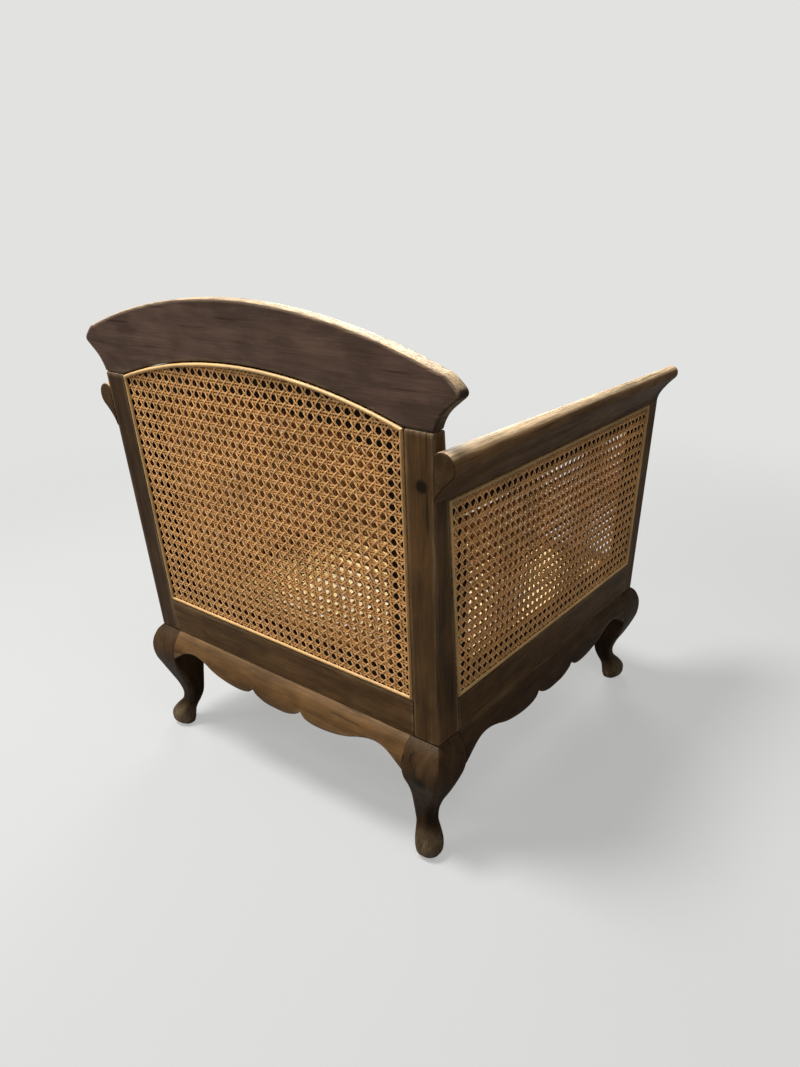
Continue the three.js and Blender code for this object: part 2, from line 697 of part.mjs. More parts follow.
// One caned panel: its frame, a sheet on each face and reeds over the edges
function canedPanel(outlineOf, widths, thickness, matrix) {
  const [stile, foot, top] = widths;
  const outer = outlineOf(0, 0, 0);
  const inner = outlineOf(stile, foot, top);
  const lap = reed_width + cane_margin;
  const inner_sheet = outlineOf(stile - lap, foot - lap, top - lap);
  const face = -panel_recess - cane_thickness - clearance;
  const back = face - thickness;
  const sheet_back = back - clearance - cane_thickness;
  return {
    ...panelFrame(outer, inner, back, face, matrix),
    outer,
    outer_sheet: caneSheet(inset(outer, cane_margin), face + clearance, -panel_recess, matrix),
    inner_sheet: caneSheet(inner_sheet, sheet_back, back - clearance, matrix),
    inner_reed: reedBead(inner_sheet, sheet_back - clearance, -1, matrix),
  };
}

const back_panel = canedPanel(
  backOutline, [stile_width, back_bottom_width, back_top_width], panel_thickness_back, back_face);
const side_panel = canedPanel(
  sideOutline, [stile_width, side_bottom_width, side_top_width], panel_thickness_side, left_side);
const reed_foot = clearance - panel_recess;

// Seat: a drop-in frame between the posts and rails, on two cleats, caned on top
const seat_top = side_opening_foot - seat_frame_drop;
const seat_bottom = seat_top - seat_frame_thickness;
const seat_half = half_width - rail_thickness - clearance;
const seat_front = side_opening_front + clearance * 2;
const seat_rear = postFrontY(seat_bottom) - clearance * 2;

function seatOutline(side, foot, top) {
  return [
    new THREE.Vector2(-seat_half + side, seat_front + foot),
    new THREE.Vector2(seat_half - side, seat_front + foot),
    new THREE.Vector2(seat_half - side, seat_rear - top),
    new THREE.Vector2(-seat_half + side, seat_rear - top),
  ];
}
const seat_frame = panelFrame(
  seatOutline(0, 0, 0), seatOutline(seat_stile_width, seat_stile_width, seat_stile_width),
  seat_bottom, seat_top, flat_seat);
const seat_cane_outline = seatOutline(seat_cane_inset, seat_cane_inset, seat_cane_inset);
const seat_cane_top = seat_top + clearance + cane_thickness;
const cleat = box(
  vector(seat_half - cleat_width, seat_front + cleat_end_gap,
    seat_bottom - clearance - cleat_height),
  vector(seat_half, seat_rear - cleat_end_gap, seat_bottom - clearance));

// Assembly
const base = new THREE.Group();
const back = new THREE.Group();
const left = new THREE.Group();
const right = new THREE.Group();
const seat = new THREE.Group();
armchair.add(base, back, left, right, seat);

addPair([base, base], 'rear_leg', pieces.rear_leg, wood);
addPair([base, base], 'front_leg', pieces.front_leg, wood);
addPiece(base, 'rear_apron', pieces.end_apron, wood);
addPiece(base, 'front_apron', moved(pieces.end_apron, to_front), wood);
addPair([base, base], 'side_apron', pieces.side_apron, wood);
addPair([base, base], 'rear_corner_block', cornerBlock(), hidden_wood);
addPair([base, base], 'front_corner_block', moved(cornerBlock(), to_front), hidden_wood);

addPair([left, right], 'rear_post', pieces.rear_post, wood);
addPair([left, right], 'front_post', pieces.front_post, wood);
addPair([left, right], 'side_rail', pieces.side_rail, wood);
addPair([left, right], 'arm_rail', pieces.arm, wood);
addPiece(back, 'back_rail', pieces.back_rail, wood);
addPiece(back, 'crest_rail', pieces.crest, wood);
addPiece(base, 'front_rail', pieces.front_rail, wood);

addPiece(back, 'back_panel_stile_left', back_panel.far, hidden_wood);
addPiece(back, 'back_panel_stile_right', back_panel.near, hidden_wood);
addPiece(back, 'back_panel_bottom_rail', back_panel.low, hidden_wood);
addPiece(back, 'back_panel_top_rail', back_panel.high, hidden_wood);
addPiece(back, 'back_cane_outer', back_panel.outer_sheet, cane);
addPiece(back, 'back_cane_inner', back_panel.inner_sheet, cane);
addPiece(back, 'back_reed_inner', back_panel.inner_reed, reed);
function addBackReed(place, from, to) {
  addPiece(back, `back_reed_${place}`,
    reedBead(back_panel.outer, reed_foot, 1, back_face, from, to), reed);
}
const back_outline_end = back_panel.outer.length - 1;
addBackReed('bottom', 0, 1);
addBackReed('left', 1, 2);
addBackReed('top', 2, back_outline_end);
addBackReed('right', back_outline_end, 0);

addPair([left, right], 'side_panel_rear_stile', side_panel.far, hidden_wood);
addPair([left, right], 'side_panel_front_stile', side_panel.near, hidden_wood);
addPair([left, right], 'side_panel_bottom_rail', side_panel.low, hidden_wood);
addPair([left, right], 'side_panel_top_rail', side_panel.high, hidden_wood);
addPair([left, right], 'side_cane_outer', side_panel.outer_sheet, cane);
addPair([left, right], 'side_cane_inner', side_panel.inner_sheet, cane);
addPair([left, right], 'side_reed_inner', side_panel.inner_reed, reed);
addPair([left, right], 'side_reed_outer',
  reedBead(side_panel.outer, reed_foot, 1, left_side), reed);

addPiece(seat, 'seat_frame_left', seat_frame.far, hidden_wood);
addPiece(seat, 'seat_frame_right', seat_frame.near, hidden_wood);
addPiece(seat, 'seat_frame_front', seat_frame.low, hidden_wood);
addPiece(seat, 'seat_frame_rear', seat_frame.high, hidden_wood);
addPiece(seat, 'seat_cane', caneSheet(
  seat_cane_outline, seat_top + clearance, seat_cane_top, flat_seat), cane);
addPiece(seat, 'seat_reed', reedBead(
  seat_cane_outline, seat_cane_top + clearance, 1, flat_seat), reed);
addPair([seat, seat], 'seat_cleat', cleat, hidden_wood);

export default armchair;
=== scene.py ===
# %% [markdown]
# # A caned armchair, finished around its CAD frame
# The chair is a low, box-shaped armchair in dark waxed hardwood. Its back and both sides carry
# two layers of woven cane, its seat one layer, and a split reed covers every edge of the weave.
# The frame comes in first, because every later piece takes its place from it.

# %% Load the frame
import math

import bmesh
import bpy
import numpy as np
from mathutils import Matrix, Vector


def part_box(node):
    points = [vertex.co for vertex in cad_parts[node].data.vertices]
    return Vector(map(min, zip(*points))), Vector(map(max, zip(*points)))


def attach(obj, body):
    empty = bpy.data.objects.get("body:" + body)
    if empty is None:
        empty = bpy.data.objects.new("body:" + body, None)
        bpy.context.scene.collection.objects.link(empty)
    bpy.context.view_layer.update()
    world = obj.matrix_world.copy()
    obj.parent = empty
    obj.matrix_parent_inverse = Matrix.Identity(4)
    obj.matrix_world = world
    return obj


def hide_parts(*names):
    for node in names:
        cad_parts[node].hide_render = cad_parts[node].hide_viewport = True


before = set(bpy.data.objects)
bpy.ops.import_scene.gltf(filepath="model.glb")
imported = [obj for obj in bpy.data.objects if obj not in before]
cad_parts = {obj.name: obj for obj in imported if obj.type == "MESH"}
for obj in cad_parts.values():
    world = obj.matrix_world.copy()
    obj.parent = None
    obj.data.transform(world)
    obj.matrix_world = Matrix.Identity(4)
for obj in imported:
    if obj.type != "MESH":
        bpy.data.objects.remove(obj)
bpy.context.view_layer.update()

# %% [markdown]
# ## The camera
# The picture was taken from behind the chair's right rear leg, a little above the crest. A
# camera is placed by where the eye stood and by three turns. The lens comes from the focal
# length in pixels, and the shift from the point of the picture that the lens looked at.

# %% Camera
MM = 0.001
picture_width, picture_height = 800, 1067
lens_centre_x, lens_centre_y = 413.4, 654.3
focal_length = 779.0
sensor = 36                    # millimetres, any width does as long as the lens is worked out from it
eye = Vector((-794.6, 995.7, 855.0)) * MM
yaw, pitch, roll = (math.radians(a) for a in (37.99, 30.78, -0.81))

ahead = Vector((math.sin(yaw) * math.cos(pitch), -math.cos(yaw) * math.cos(pitch), -math.sin(pitch)))
level = ahead.cross(Vector((0, 0, 1))).normalized()
upward = level.cross(ahead)
right = level * math.cos(roll) + upward * math.sin(roll)
above = upward * math.cos(roll) - level * math.sin(roll)

camera = bpy.data.objects.new("camera", bpy.data.cameras.new("camera"))
bpy.context.scene.collection.objects.link(camera)
camera.matrix_world = Matrix.Translation(eye) @ Matrix((right, above, -ahead)).transposed().to_4x4()
camera.data.sensor_width = sensor
camera.data.lens = focal_length * sensor / picture_height
camera.data.shift_x = (picture_width / 2 - lens_centre_x) / picture_height
camera.data.shift_y = (lens_centre_y - picture_height / 2) / picture_height
bpy.context.scene.camera = camera
bpy.context.scene.view_settings.view_transform = "Standard"
print("lens", round(camera.data.lens, 2), "mm")

# %% [markdown]
# ## Colours and nodes
# Colours are written as sRGB hex values, the way a paint chart gives them, and one function
# turns them into the linear light that Blender works in. One more function adds a node with
# its settings and links, so that each material below reads as a short recipe. The settings
# that come back often have a name of their own, and a colour ramp gets its stops afterwards.

# %% Colour and node helpers
def linear(hex_colour):
    levels = [int(hex_colour[i:i + 2], 16) / 255 for i in (1, 3, 5)]
    return (*[v / 12.92 if v <= 0.04045 else ((v + 0.055) / 1.055) ** 2.4 for v in levels], 1)


def node(tree, kind, settings=None, **inputs):
    """Adds one node. An input goes by its name, or by its place as _0 or _1. It is a value, an
    output to link, or a node whose first output is linked."""
    made = tree.nodes.new(kind)
    for key, value in (settings or {}).items():
        setattr(made, key, value)
    for key, value in inputs.items():
        socket = made.inputs[int(key[1:])] if key[1:].isdigit() else made.inputs[key.replace("_", " ")]
        if isinstance(value, bpy.types.Node):
            value = value.outputs[0]
        if isinstance(value, bpy.types.NodeSocket):
            tree.links.new(value, socket)
        else:
            socket.default_value = value
    return made


# settings that many nodes share
multiply, maximum, scaling = ({"operation": word} for word in ("MULTIPLY", "MAXIMUM", "SCALE"))
smooth = {"interpolation_type": "SMOOTHSTEP"}


def span(from_low, from_high, to_low, to_high):
    """The four numbers of a Map Range node: what comes in, and what goes out for it."""
    return {"From_Min": from_low, "From_Max": from_high, "To_Min": to_low, "To_Max": to_high}


def new_material(name):
    material = bpy.data.materials.new(name)
    material.use_nodes = True
    material.node_tree.nodes.clear()
    return material, material.node_tree


def set_stops(colour_ramp, positions, colours):
    """Puts hex colours at these positions of a ramp, whose new stops start in its middle."""
    while len(colour_ramp.elements) < len(positions):
        colour_ramp.elements.new(0.5)
    for element, position, colour in zip(colour_ramp.elements, positions, colours):
        element.position = position
        element.color = linear(colour)


print("mid grey #808080 is", round(linear("#808080")[0], 3), "in linear light")

# %% [markdown]
# ## Floor and backdrop
# The chair stands on a plain pale floor that runs into an equally pale backdrop. The floor is a
# matt grey that takes the shadow, with a little light of its own for the camera alone, so that
# it looks pale without throwing light back up at the chair. Further out it fades into the
# backdrop's colour, and no horizon shows.

# %% Floor and backdrop
backdrop_colour = "#e2e2e0"
floor_tone, floor_glow = 0.18, 0.39
floor_warmth = 0.98            # a trace less blue than red
floor_radius, floor_corners = 12.0, 64
fade_start, fade_end = 0.9, 2.3

floor_finish, tree = new_material("matt_studio_floor")
where = node(tree, "ShaderNodeTexCoord").outputs["Object"]
distance = node(tree, "ShaderNodeVectorMath", {"operation": "LENGTH"}, _0=where)
fade = node(tree, "ShaderNodeMapRange", smooth,
            Value=distance.outputs["Value"], From_Min=fade_start, From_Max=fade_end)
camera_ray = node(tree, "ShaderNodeLightPath").outputs["Is Camera Ray"]
far = node(tree, "ShaderNodeMath", multiply, _0=fade, _1=camera_ray)
matt = node(tree, "ShaderNodeBsdfDiffuse", Color=(floor_tone, floor_tone, floor_tone * floor_warmth, 1))
own_light = node(tree, "ShaderNodeMath", multiply, _0=camera_ray, _1=floor_glow)
glow = node(tree, "ShaderNodeEmission", Color=linear("#fefefc"), Strength=own_light)
lifted = node(tree, "ShaderNodeAddShader", _0=matt, _1=glow)
backdrop = node(tree, "ShaderNodeEmission", Color=linear(backdrop_colour))
mixed = node(tree, "ShaderNodeMixShader", _0=far, _1=lifted, _2=backdrop)
node(tree, "ShaderNodeOutputMaterial", Surface=mixed)

floor_mesh = bpy.data.meshes.new("floor")
rim = [(floor_radius * math.cos(a), floor_radius * math.sin(a), 0)
       for a in np.linspace(0, 2 * math.pi, floor_corners, endpoint=False)]
floor_mesh.from_pydata(rim, [], [list(range(floor_corners))])
floor_mesh.materials.append(floor_finish)
floor = bpy.data.objects.new("floor", floor_mesh)
bpy.context.scene.collection.objects.link(floor)
print("floor", 2 * floor_radius, "m across, backdrop", backdrop_colour)

# %% [markdown]
# ## Lamps
# One large soft lamp hangs high above, a little behind the chair and to its left. It lights the
# seat and the tops of the arms and leaves the sides in shade. A second, gentler one stands in
# front of the chair and grazes the waxed tops, so that they shine towards the camera. Two weak
# ones lift what faces the camera: the back, and the upper part of the right side. An even sky
# fills the shadows.

# %% Light
sky_strength = 0.23


def soft_lamp(name, place, target, size, power):
    lamp = bpy.data.objects.new(name, bpy.data.lights.new(name, "AREA"))
    lamp.data.shape = "DISK"
    lamp.data.size = size
    lamp.data.energy = power
    lamp.location = place
    lamp.rotation_mode = "QUATERNION"
    lamp.rotation_quaternion = (Vector(target) - Vector(place)).to_track_quat("-Z", "Y")
    bpy.context.scene.collection.objects.link(lamp)
    print(name, round((Vector(place) - Vector(target)).length, 2), "m away,", power, "W")


soft_lamp("overhead_lamp", (0.98, 0.98, 3.6), (0, 0, 0.35), 1.1, 205)
soft_lamp("grazing_lamp", (1.35, -1.9, 1.75), (0, 0, 0.6), 1.2, 40)
soft_lamp("rear_lamp", (1.4, 1.6, 1.9), (0, 0.3, 0.6), 1.0, 25)
soft_lamp("arm_lamp", (-0.9, 0.45, 1.8), (-0.3, 0.1, 0.5), 0.6, 8)

world = bpy.data.worlds.new("studio")
bpy.context.scene.world = world
world.use_nodes = True
tree = world.node_tree
tree.nodes.clear()
path = node(tree, "ShaderNodeLightPath")
seen = node(tree, "ShaderNodeBackground", Color=linear(backdrop_colour), Strength=1.0)
fill = node(tree, "ShaderNodeBackground", Color=linear("#f4f4f4"), Strength=sky_strength)
sky = node(tree, "ShaderNodeMixShader", _0=path.outputs["Is Camera Ray"], _1=fill, _2=seen)
node(tree, "ShaderNodeOutputWorld", Surface=sky)

# %% [markdown]
# ## Dark waxed hardwood
# The frame is a fine-grained tropical hardwood, planed, stained dark and waxed long ago. It
# reads as grey-brown with darker pores drawn out along the grain. Hands have worn the arrises
# and the tops of the arms and crest back to a paler, golden wood, and on the level tops that
# pale tone also paints the light that falls on them from above. The grain runs along each
# member, so the same recipe is made once for each direction. The boards never matched: the left
# rear post is darker and the crest redder than the rest. The legs and side aprons are darker,
# partly as their own stain and partly as painted shade of the low parts and of the sides away
# from the lamps, and the arms are paler, which paints light into the shade under their scrolls.
# The unwaxed wood inside is nearly black, which paints the shade it stands in. Blotches, fine
# drying checks, two knots, dark end grain and scuffed feet keep the surface from looking new,
# and painted shade darkens the ankles. A picture of wood could be wrapped round each part.
# Noise that is drawn out along the grain was chosen, because it has no seams, runs through a
# part's whole thickness as grain does, and shows up as end grain where a board is cut.

# %% Grain
grain_axes = "XYZ"
board_drift = 23.0             # carries each board to another stretch of the noise
# size across the grain, stretch along it, detail, roughness and distortion of each pattern
grain_patterns = {
    "bands": (14 * MM, 14, 4.0, 0.5, 0.6),       # yearly growth
    "pores": (2.1 * MM, 22, 3.0, 0.7, 0.0),      # really about 0.2 mm wide, drawn coarser so that they show
    "cloud": (90 * MM, 1, 5.0, 0.5, 0.0),        # stain that took unevenly
    "blotches": (22 * MM, 2.5, 3.0, 0.6, 0.0),   # wax and handling, about as wide as a thumb
    "checks": (6 * MM, 26, 2.0, 0.5, 0.0)}       # hair cracks that drying has opened


def grain_of(tree, coordinates, grain_axis):
    """One noise for each pattern of the wood, drawn out along the grain."""
    chance = node(tree, "ShaderNodeObjectInfo").outputs["Random"]
    drift = node(tree, "ShaderNodeMath", multiply, _0=chance, _1=board_drift)
    made = {}
    for name, (size, stretch, detail, rough, twist) in grain_patterns.items():
        scale = [1 / stretch if axis == grain_axis else 1.0 for axis in grain_axes]
        drawn_out = node(tree, "ShaderNodeMapping", Vector=coordinates, Scale=scale)
        made[name] = node(tree, "ShaderNodeTexNoise", {"noise_dimensions": "4D"}, Vector=drawn_out, W=drift,
                          Scale=1 / size, Detail=detail, Roughness=rough, Distortion=twist)
    return made


print("grain patterns:", ", ".join(grain_patterns))

# %% Stain
# noise from and to, then how bright the stain is there
stain_tones = {"pores": (0.38, 0.60, 0.84, 1.06), "cloud": (0.35, 0.65, 0.72, 1.12),
               "blotches": (0.36, 0.56, 0.74, 1.06), "checks": (0.30, 0.37, 0.45, 1.0)}
band_stops = 0.28, 0.5, 0.74
# two knots show on the right rear corner: one beside the arm, one on the knee of the leg
knots = [(Vector((-281.2, 320.2, 568.4)) * MM, 8 * MM), (Vector((-284.0, 331.0, 146.0)) * MM, 16 * MM)]
knot_core, knot_rim, knot_tone = 1.4, 2.1, 0.14        # the first two are shares of the knot's radius


def shade_of(tree, coordinates, grain):
    """How much lighter or darker than its plain stain the wood is."""
    shade = None
    for name, tones in stain_tones.items():
        mask = node(tree, "ShaderNodeMapRange", Value=grain[name], **span(*tones))
        shade = mask if shade is None else node(tree, "ShaderNodeMath", multiply, _0=shade, _1=mask)
    for place, radius in knots:
        away = node(tree, "ShaderNodeVectorMath", {"operation": "DISTANCE"}, _0=coordinates, _1=place)
        uneven = node(tree, "ShaderNodeMath", {"operation": "MULTIPLY_ADD"},
                      _0=grain["cloud"], _1=radius * 2, _2=away.outputs["Value"])
        dark_spot = node(tree, "ShaderNodeMapRange", smooth, Value=uneven,
                         **span(radius * knot_core, radius * knot_rim, knot_tone, 1.0))
        shade = node(tree, "ShaderNodeMath", multiply, _0=shade, _1=dark_spot)
    return shade


print("knots, metres:", [[round(v, 3) for v in place] for place, _ in knots])

# %% Wear and painted top light
hand_height, full_hand_height = 500 * MM, 560 * MM     # hands rub only what is this high up
scuff_height, kicked_height = 48 * MM, 14 * MM         # the feet are scuffed paler up to about here
top_slope, flat_slope = 0.5, 0.9                       # how level a face is, as the height of its normal
scuff_share = 0.5
patchy_tops, ragged_arrises = (0.35, 0.6, 1.0, 0.75), (0.3, 0.66, 0.0, 0.2)


def wear_and_top_light_of(tree, grain, normal, height, bleach_and_top_light):
    """How far the stain is gone along arrises and at the feet, and on level tops at hand height, where the
    pale tone is wear and also painted light from above.
    """
    # painted light: level faces turn paler the more they face upwards, as the lamp above lights them; hand
    # wear adds to it
    top = node(tree, "ShaderNodeMapRange", smooth, Value=normal.outputs["Z"],
               **span(top_slope, flat_slope, 0.0, bleach_and_top_light))
    touched = node(tree, "ShaderNodeMapRange", Value=height, From_Min=hand_height, From_Max=full_hand_height)
    patchy = node(tree, "ShaderNodeMapRange", Value=grain["cloud"], **span(*patchy_tops))
    reached = node(tree, "ShaderNodeMath", multiply, _0=touched, _1=patchy)
    bleached_and_lit = node(tree, "ShaderNodeMath", multiply, _0=top, _1=reached)
    arris = node(tree, "ShaderNodeAttribute", {"attribute_name": "worn"}).outputs["Fac"]
    ragged = node(tree, "ShaderNodeMapRange", Value=grain["bands"], **span(*ragged_arrises))
    rubbed = node(tree, "ShaderNodeMath", multiply, _0=arris, _1=ragged)
    scuffs = node(tree, "ShaderNodeMapRange", Value=height,
                  **span(scuff_height, kicked_height, 0.0, scuff_share))
    kicked = node(tree, "ShaderNodeMath", multiply, _0=scuffs, _1=grain["blotches"])
    low_wear = node(tree, "ShaderNodeMath", maximum, _0=rubbed, _1=kicked)
    return node(tree, "ShaderNodeMath", maximum, _0=low_wear, _1=bleached_and_lit)


# %% Hardwood
ankle_painted_shade = (60 * MM, 135 * MM, 0.6, 1.0)            # painted shade darkens the ankles towards the floor
open_pores = (0.4, 0.55, 0.66, 1.06)                   # pale worn and top-lit wood shows its pores more
sawn_ends = (0.6, 0.9, 1.0, 0.45)                      # end grain drinks more stain, so it is darker
wax_gloss, wax_tint = (0.35, 0.65, 0.62, 0.44), "#e6cfae"
pore_relief, band_relief = (0.35, 0.35 * MM), (0.5, 0.9 * MM)     # strength and depth


def hardwood(name, grain_axis, dark, middle, pale, worn="#cbb18c", bleach_and_top_light=0.95, shine=0.22):
    material, tree = new_material(name)
    coordinates = node(tree, "ShaderNodeTexCoord").outputs["Object"]
    facing = node(tree, "ShaderNodeNewGeometry").outputs["Normal"]
    normal = node(tree, "ShaderNodeSeparateXYZ", Vector=facing)
    height = node(tree, "ShaderNodeSeparateXYZ", Vector=coordinates).outputs["Z"]
    grain = grain_of(tree, coordinates, grain_axis)
    shade = shade_of(tree, coordinates, grain)

    body = node(tree, "ShaderNodeValToRGB", _0=grain["bands"])
    set_stops(body.color_ramp, band_stops, (dark, middle, pale))
    # painted shade: the wood is darker towards the floor, below the ankles
    low_shade = node(tree, "ShaderNodeMapRange", smooth, Value=height, **span(*ankle_painted_shade))
    shaded_low = node(tree, "ShaderNodeMath", multiply, _0=shade, _1=low_shade)
    stained = node(tree, "ShaderNodeVectorMath", scaling, _0=body, Scale=shaded_low)
    open_grain = node(tree, "ShaderNodeMapRange", Value=grain["pores"], **span(*open_pores))
    rubbed = node(tree, "ShaderNodeMath", multiply, _0=shade, _1=open_grain)
    # the worn tone is real wear, and on the level tops it also paints the light from above
    worn_and_lit_tone = node(tree, "ShaderNodeVectorMath", scaling, _0=linear(worn)[:3], Scale=rubbed)
    wear_and_light = wear_and_top_light_of(tree, grain, normal, height, bleach_and_top_light)
    colour = node(tree, "ShaderNodeMix", {"data_type": "RGBA"}, _0=wear_and_light, _6=stained, _7=worn_and_lit_tone)
    across_end = node(tree, "ShaderNodeMath", {"operation": "ABSOLUTE"}, _0=normal.outputs[grain_axis])
    end_dark = node(tree, "ShaderNodeMapRange", Value=across_end, **span(*sawn_ends))
    soaked = node(tree, "ShaderNodeVectorMath", scaling, _0=colour.outputs[2], Scale=end_dark)

    gloss = node(tree, "ShaderNodeMapRange", Value=grain["pores"], **span(*wax_gloss))
    dents = node(tree, "ShaderNodeBump", Strength=pore_relief[0], Distance=pore_relief[1],
                 Height=grain["pores"])
    relief = node(tree, "ShaderNodeBump", Strength=band_relief[0], Distance=band_relief[1],
                  Height=grain["bands"], Normal=dents)
    wood = node(tree, "ShaderNodeBsdfPrincipled", Base_Color=soaked, Roughness=gloss, IOR=1.5,
                Specular_IOR_Level=shine, Specular_Tint=linear(wax_tint), Normal=relief)
    node(tree, "ShaderNodeOutputMaterial", Surface=wood)
    return material


# %% Boards of wood
# legs and side aprons: a darker stain that also paints the shade of the low parts and of the sides away from
# the lamps; the left rear post shares it
dark_stain_and_shade = "#302113", "#3d2a19", "#483420"
woods = {"leg": hardwood("waxed_dark_shaded_leg_hardwood_z", "Z", *dark_stain_and_shade),
         "side_apron": hardwood("waxed_dark_shaded_apron_hardwood_y", "Y", *dark_stain_and_shade),
         # painted light: the arm wood is paler, which lifts the shaded cove under the scroll
         "arm": hardwood("waxed_arm_hardwood_y_painted_light", "Y", "#563f25", "#664a2e", "#735639"),
         "crest": hardwood("waxed_red_hardwood_x", "X", "#44332b", "#513e34", "#5e493d")}
for axis in grain_axes:
    woods[axis] = hardwood(f"waxed_dark_hardwood_{axis.lower()}", axis, "#46311a", "#543b21", "#614729")
    # painted shade: the inner members are nearly black, for the shade they stand in behind the cane and under
    # the seat
    woods["frame_" + axis] = hardwood(f"shaded_inner_hardwood_{axis.lower()}", axis,
                                      "#17100b", "#1f1710", "#281e15", "#30251a", 0.2, 0.08)
print("woods:", sorted(woods))

# %% [markdown]
# ## Chair cane and reed
# Cane is the glossy bark of the rattan vine, split into flat strands 2 to 4 mm wide. The bark
# side keeps a natural shine, and each strand came off the vine with its own tone, from straw
# to honey. Every strand carries a tone mark, and a fine noise streaks the bark as its fibres
# do. The tone marks also hold painted light and shade: the diagonals on top are marked lighter,
# the pairs beneath them darker, the upright pairs most, and the edges of every strand darker
# still. Light from behind also passes through a strand, most through the worn inner sheets.
# The reed over the edges is a thicker split of the same vine, so one recipe serves all four
# finishes.

# %% Cane and reed
# the bark's fibres are really finer than 0.2 mm, and the streak is drawn coarser so that it shows
cane_cloud, cane_streak = 60 * MM, 5 * MM
tone_share, streak_share = 0.55, 0.45
rattan_stops = 0.18, 0.45, 0.8
age_tones = (0.3, 0.7, 0.82, 1.1)
bark_relief = (0.3, 0.15 * MM)         # strength and depth


def rattan(name, straw, honey, old, shine, through_light=0.25):
    material, tree = new_material(name)
    coordinates = node(tree, "ShaderNodeTexCoord").outputs["Object"]
    tone = node(tree, "ShaderNodeAttribute", {"attribute_name": "tone"}).outputs["Fac"]
    cloud = node(tree, "ShaderNodeTexNoise", Vector=coordinates, Scale=1 / cane_cloud, Detail=4.0)
    streak = node(tree, "ShaderNodeTexNoise", Vector=coordinates, Scale=1 / cane_streak, Detail=3.0)
    streaked = node(tree, "ShaderNodeMath", multiply, _0=streak, _1=streak_share)
    mixed = node(tree, "ShaderNodeMath", {"operation": "MULTIPLY_ADD"}, _0=tone, _1=tone_share, _2=streaked)
    colour = node(tree, "ShaderNodeValToRGB", _0=mixed)
    set_stops(colour.color_ramp, rattan_stops, (old, honey, straw))
    age = node(tree, "ShaderNodeMapRange", Value=cloud, **span(*age_tones))
    aged = node(tree, "ShaderNodeVectorMath", scaling, _0=colour, Scale=age)
    gloss = node(tree, "ShaderNodeMapRange", Value=streak, **span(0.3, 0.7, shine + 0.1, shine - 0.05))
    fibre = node(tree, "ShaderNodeBump", Strength=bark_relief[0], Distance=bark_relief[1], Height=streak)
    bark = node(tree, "ShaderNodeBsdfPrincipled", Base_Color=aged, Roughness=gloss, IOR=1.5, Normal=fibre)
    # a split strand is thin enough to glow when it is lit from behind
    glow = node(tree, "ShaderNodeBsdfTranslucent", Color=aged)
    strand = node(tree, "ShaderNodeMixShader", _0=through_light, _1=bark, _2=glow)
    node(tree, "ShaderNodeOutputMaterial", Surface=strand)
    return material


panel_cane = rattan("split_rattan_cane", "#ffdda4", "#f6b262", "#935c2b", 0.42)
shaded_cane = rattan("aged_inner_cane", "#ffdb9e", "#eeb974", "#966632", 0.5, 0.4)
seat_weave = rattan("pale_seat_cane", "#f3e0a4", "#ebd08a", "#cfa75c", 0.42)
edge_reed = rattan("split_rattan_reed", "#dcb97e", "#c99d60", "#a47a48", 0.45)
print("canes:", [finish.name for finish in (panel_cane, shaded_cane, seat_weave, edge_reed)])

# %% [markdown]
# ## Making a piece
# Each visible form is a mesh worked out from the chair's own sizes. Outlines are drawn flat, as
# a maker would draw them on a board, and a carrier takes them to the back, to a side or to the
# seat. The mesh then rides on the frame and stands for the CAD part it dresses.

# %% Sizes shared with the frame
half_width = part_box("rear_post_left")[1].x
base_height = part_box("rear_leg_left")[1].z
gap = 0.3 * MM
half_depth = 310 * MM
back_lean = math.tan(math.radians(1.6))
post_lean = math.tan(math.radians(5.4))
rear_post_width, rear_post_depth = 41.4 * MM, 50.5 * MM
front_post_width, front_post_thickness = 30 * MM, 38 * MM
rail_thickness = 24 * MM
back_rail_height, side_rail_height = 59.5 * MM, 56 * MM
post_top = 631.4 * MM
arm_underside = 548.5 * MM
foot = base_height + gap
back_opening = half_width - rear_post_width
side_front = -half_depth + front_post_width


def rear_face(z):
    return half_depth + (z - base_height) * back_lean


def post_front(z):
    return half_depth - rear_post_depth + (z - base_height) * post_lean


# carriers: rows are the directions of u, v and w, then the place of the origin
on_back = (np.array([[1, 0, 0], [0, back_lean, 1], [0, 1, 0]]),
           np.array([0, half_depth - base_height * back_lean, 0]))
on_left = (np.array([[0, 1, 0], [0, 0, 1], [1, 0, 0]]), np.array([half_width, 0, 0]))
on_right = (np.array([[0, 1, 0], [0, 0, 1], [-1, 0, 0]]), np.array([-half_width, 0, 0]))
flat = (np.eye(3), np.zeros(3))
sides = {"left": on_left, "right": on_right}
print("half width", round(half_width, 4), "base height", round(base_height, 4))

# %% Piece maker
weld_distance = 0.001 * MM
most_curved_corners = 6        # a face with more corners than this is a broad flat one


def finish_piece(name, points, faces, finish, stands_for, carrier, marks, crease=35):
    """One visible piece from its mesh data. marks are the numbers that its finish reads at each point."""
    points = np.asarray(points, float) @ carrier[0] + carrier[1]
    if np.linalg.det(carrier[0]) < 0:
        faces = [tuple(reversed(f)) for f in faces]
    mesh = bpy.data.meshes.new(name)
    mesh.from_pydata(points.tolist(), [], faces)
    for key, values in marks.items():
        mesh.attributes.new(key, "FLOAT", "POINT").data.foreach_set("value", np.asarray(values, np.float32))
    work = bmesh.new()
    work.from_mesh(mesh)
    bmesh.ops.remove_doubles(work, verts=work.verts, dist=weld_distance)
    work.to_mesh(mesh)
    work.free()
    mesh.shade_smooth()
    mesh.set_sharp_from_angle(angle=math.radians(crease))
    for face in mesh.polygons:
        face.use_smooth = len(face.vertices) <= most_curved_corners
    mesh.materials.append(finish)
    piece = bpy.data.objects.new(name, mesh)
    bpy.context.scene.collection.objects.link(piece)
    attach(piece, "root")
    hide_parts(*stands_for)


